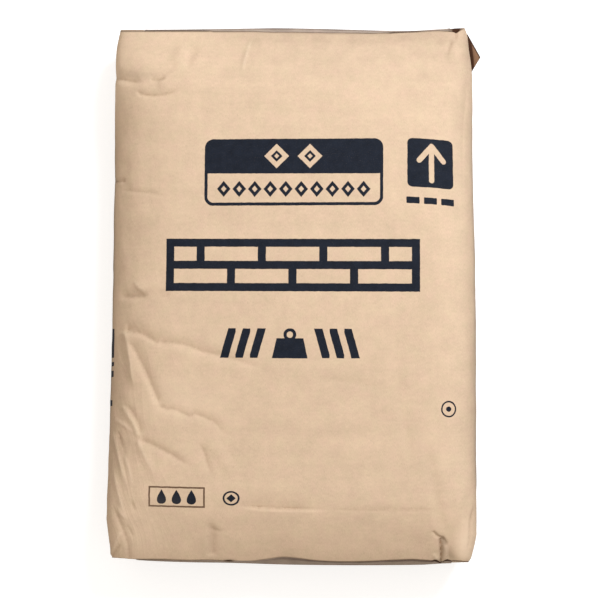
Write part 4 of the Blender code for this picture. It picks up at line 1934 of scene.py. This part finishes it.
@dataclass
class CementFill:
    """The powder that fills the sack, a little inside its paper."""

    form: BagForm
    inside: float = 0.005

    def build(self) -> Piece:
        """Makes the powder's body.

        Returns:
            The powder, not yet dressed.
        """
        fill = cube_cage("cement_fill", (48, 68, 12))
        points = self.form.place(read_vectors(fill, CUBE_PLACE))
        middle = np.array([self.form.middle_x, 0.0, self.form.height / 2])
        size = np.array([self.form.width, self.form.length, self.form.height])
        points = middle + (points - middle) * (1.0 - 2 * self.inside / size)
        lumps = np.array([noise.fractal(Vector(p) / 0.02, 0.8, 2.0, 3) for p in points])
        write_points(fill, points)
        write_points(fill, points + read_normals(fill) * (lumps * 0.0006)[:, None])
        bpy.ops.object.shade_smooth()
        return fill


@dataclass
class ValveSleeve:
    """The flat filling sleeve, whose squeezed mouth stands out at the top right corner."""

    form: BagForm
    view: PhotoView
    node: str = "valve_sleeve"
    tip: Point = (480.4, 57.5)
    upper: Point = (467.2, 34.0)
    lower: Point = (471.3, 72.5)
    paper: float = 0.0005
    opening: float = 0.0022

    def build(self) -> Piece:
        """Makes the sleeve of two plies, joined along its upper edge.

        Returns:
            The sleeve, not yet dressed.
        """
        low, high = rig.box(self.node)
        level = (low.z + high.z) / 2
        tip, upper, lower = self.view.on_level((self.tip, self.upper, self.lower), level)
        plies = []
        for name, side in (("sleeve_upper_ply", 1.0), ("sleeve_lower_ply", -1.0)):
            ply = cube_cage(name, (40, 24, 1))
            cube = read_vectors(ply, CUBE_PLACE)
            along, across, skin = ((cube + 1.0) / 2.0).T
            across = 1.0 - (1.0 - across) ** 1.6
            x = mix(low.x, tip[0], along**0.8)
            stations = (low.x, upper[0] - 0.012, upper[0], tip[0])
            top = np.interp(x, stations, (high.y, high.y, upper[1], tip[1]))
            bottom = np.interp(x, (low.x, lower[0], tip[0]), (low.y, lower[1], tip[1]))
            y = mix(bottom, top, across)
            mouth = ease((x - upper[0] + 0.02) / 0.02) * (1.0 - ease((x - tip[0] + 0.004) / 0.004))
            gape = 0.0003 + self.opening * 4.0 * across * (1.0 - across) * mouth
            z = level + side * (gape + skin * self.paper)
            out = x - np.interp(y, (lower[1], upper[1]), (lower[0], upper[0]))
            # Painted shade: dark along the root, where the bag's side shades the sleeve, and a dark line along the
            # upper edge.
            shade = 1.2 * (1.0 - ease((out - 0.0019) / 0.0025)) + 0.45 * (1.0 - ease(out / 0.012))
            shade = np.maximum(shade, 1.1 * (1.0 - ease((top - y - 0.001) / 0.0050)))
            write_points(ply, np.stack([x, y, z], -1))
            write_attribute(ply, SHEET, np.stack([x - self.form.middle_x, y, np.ones(len(x))], -1))
            write_attribute(ply, CREASE, np.zeros(len(x)))
            write_attribute(ply, SOILED, shade)
            if side < 0:
                make_active(ply)
                with edit_mode():
                    bpy.ops.mesh.select_all(action="SELECT")
                    bpy.ops.mesh.flip_normals()
            plies.append(ply)
        deselect_all()
        for ply in plies:
            ply.select_set(True)
        bpy.context.view_layer.objects.active = plies[0]
        bpy.ops.object.join()
        sleeve = bpy.context.object
        sleeve.name = sleeve.data.name = "filling_sleeve"
        bpy.ops.object.shade_smooth_by_angle(angle=math.radians(35))
        return sleeve


@dataclass(frozen=True)
class Studio:
    """A pale floor, one large soft lamp to the upper right, and an even, slightly warmer room."""

    floor_colour: tuple[float, float, float] = (0.55, 0.55, 0.55)
    floor_glow: float = 0.64
    floor_size: float = 14.0
    lamp_place: tuple[float, float, float] = (0.70, 0.88, 1.24)
    lamp_size: float = 0.6
    lamp_power: float = 24.0
    lamp_colour: tuple[float, float, float] = (0.84, 0.91, 1.0)
    room_colour: tuple[float, float, float] = (1.0, 0.93, 0.85)
    room_low: float = 0.32
    room_high: float = 0.64
    room_seen: float = 1.0

    def build(self) -> None:
        """Adds the floor, the lamp and the room's light. Floor and room show paler than they light."""
        deselect_all()
        bpy.ops.mesh.primitive_plane_add(size=self.floor_size)
        floor = bpy.context.object
        floor.name = "studio_floor"
        pale, desk, shader = new_material("floor_pale")
        seen = desk.wires(desk.put("LightPath"))["Is Camera Ray"]
        desk.feed(
            shader, Base_Color=self.floor_colour, Roughness=0.9, Emission_Strength=self.floor_glow,
            Emission_Color=seen,
        )
        floor.data.materials.append(pale)
        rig.stage(floor)

        bpy.ops.object.light_add(type="AREA", location=self.lamp_place)
        lamp = bpy.context.object
        lamp.name = "soft_lamp"
        lamp.data.shape = "DISK"
        lamp.data.size = self.lamp_size
        lamp.data.energy = self.lamp_power
        lamp.data.color = self.lamp_colour
        lamp.rotation_euler = (Vector((0.0, 0.0, 0.05)) - lamp.location).to_track_quat("-Z", "Y").to_euler()

        world = bpy.context.scene.world or bpy.data.worlds.new("room")
        bpy.context.scene.world = world
        world.use_nodes = True
        desk = NodeDesk(world.node_tree)
        upward = desk.split(desk.wires(desk.put("TexCoord"))["Generated"])[2]
        light = upward.most(0.0) * self.room_high + self.room_low
        seen = desk.wires(desk.put("LightPath"))["Is Camera Ray"]
        colour = desk.blend(seen, self.room_colour, (1.0, 1.0, 1.0))
        strength = seen * (self.room_seen - light) + light
        desk.feed(world.node_tree.nodes["Background"], Strength=strength, Color=colour)
        bpy.context.scene.view_settings.view_transform = "Standard"


def main() -> None:
    """Builds the bag piece by piece, then the studio and the camera."""
    logging.basicConfig(level=logging.INFO, format="%(name)s: %(message)s")
    form = BagForm.from_node("paper_sack")
    view = PhotoView()
    groups = PaperGroups()
    kraft = PaperFinish("kraft_printed", (0.60, 0.444, 0.316), printed=SackPrint(view, form))
    # Greyer and darker than the sack's kraft: a greyish paper, with painted shade of the end walls in its colour.
    strip_paper = PaperFinish("strip_paper", (0.385, 0.30, 0.245), cloud=0.2, bands=0.08, edge_dark=0.25)
    # Darker than the sack's kraft: brown paper, with painted shade of the sleeve's place under the bag's side in its
    # colour.
    sleeve_paper = PaperFinish("sleeve_paper", (0.245, 0.134, 0.078), cloud=0.16)

    sack = PaperSack(form, view).build()
    strips = {}
    for name, sign in (("top_end_strip", 1.0), ("bottom_end_strip", -1.0)):
        low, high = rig.box(name)
        sides, levels = (low.x, high.x + 0.008), (low.z, high.z)
        strips[name] = EndStrip(f"{name}_pasted", sack, sign, sides, levels).build()
    hand_over(sack, kraft.make(groups), "kraft", "paper_sack")
    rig.padded(sack, fill=0.9)
    strip_finish = strip_paper.make(groups)
    for name, strip in strips.items():
        hand_over(strip, strip_finish, "strip_kraft", name)
    hand_over(CementFill(form).build(), CementFinish().make(), "cement", "cement")
    hand_over(ValveSleeve(form, view).build(), sleeve_paper.make(groups), "sleeve_kraft", "valve_sleeve")

    Studio().build()
    view.build()
    with open("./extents.json", "w", encoding="utf-8") as out:
        json.dump({"cad": [list(p) for p in CAD_BOUNDS], "visual": [list(p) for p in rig.bounds()]}, out)


if __name__ == "__main__":
    main()
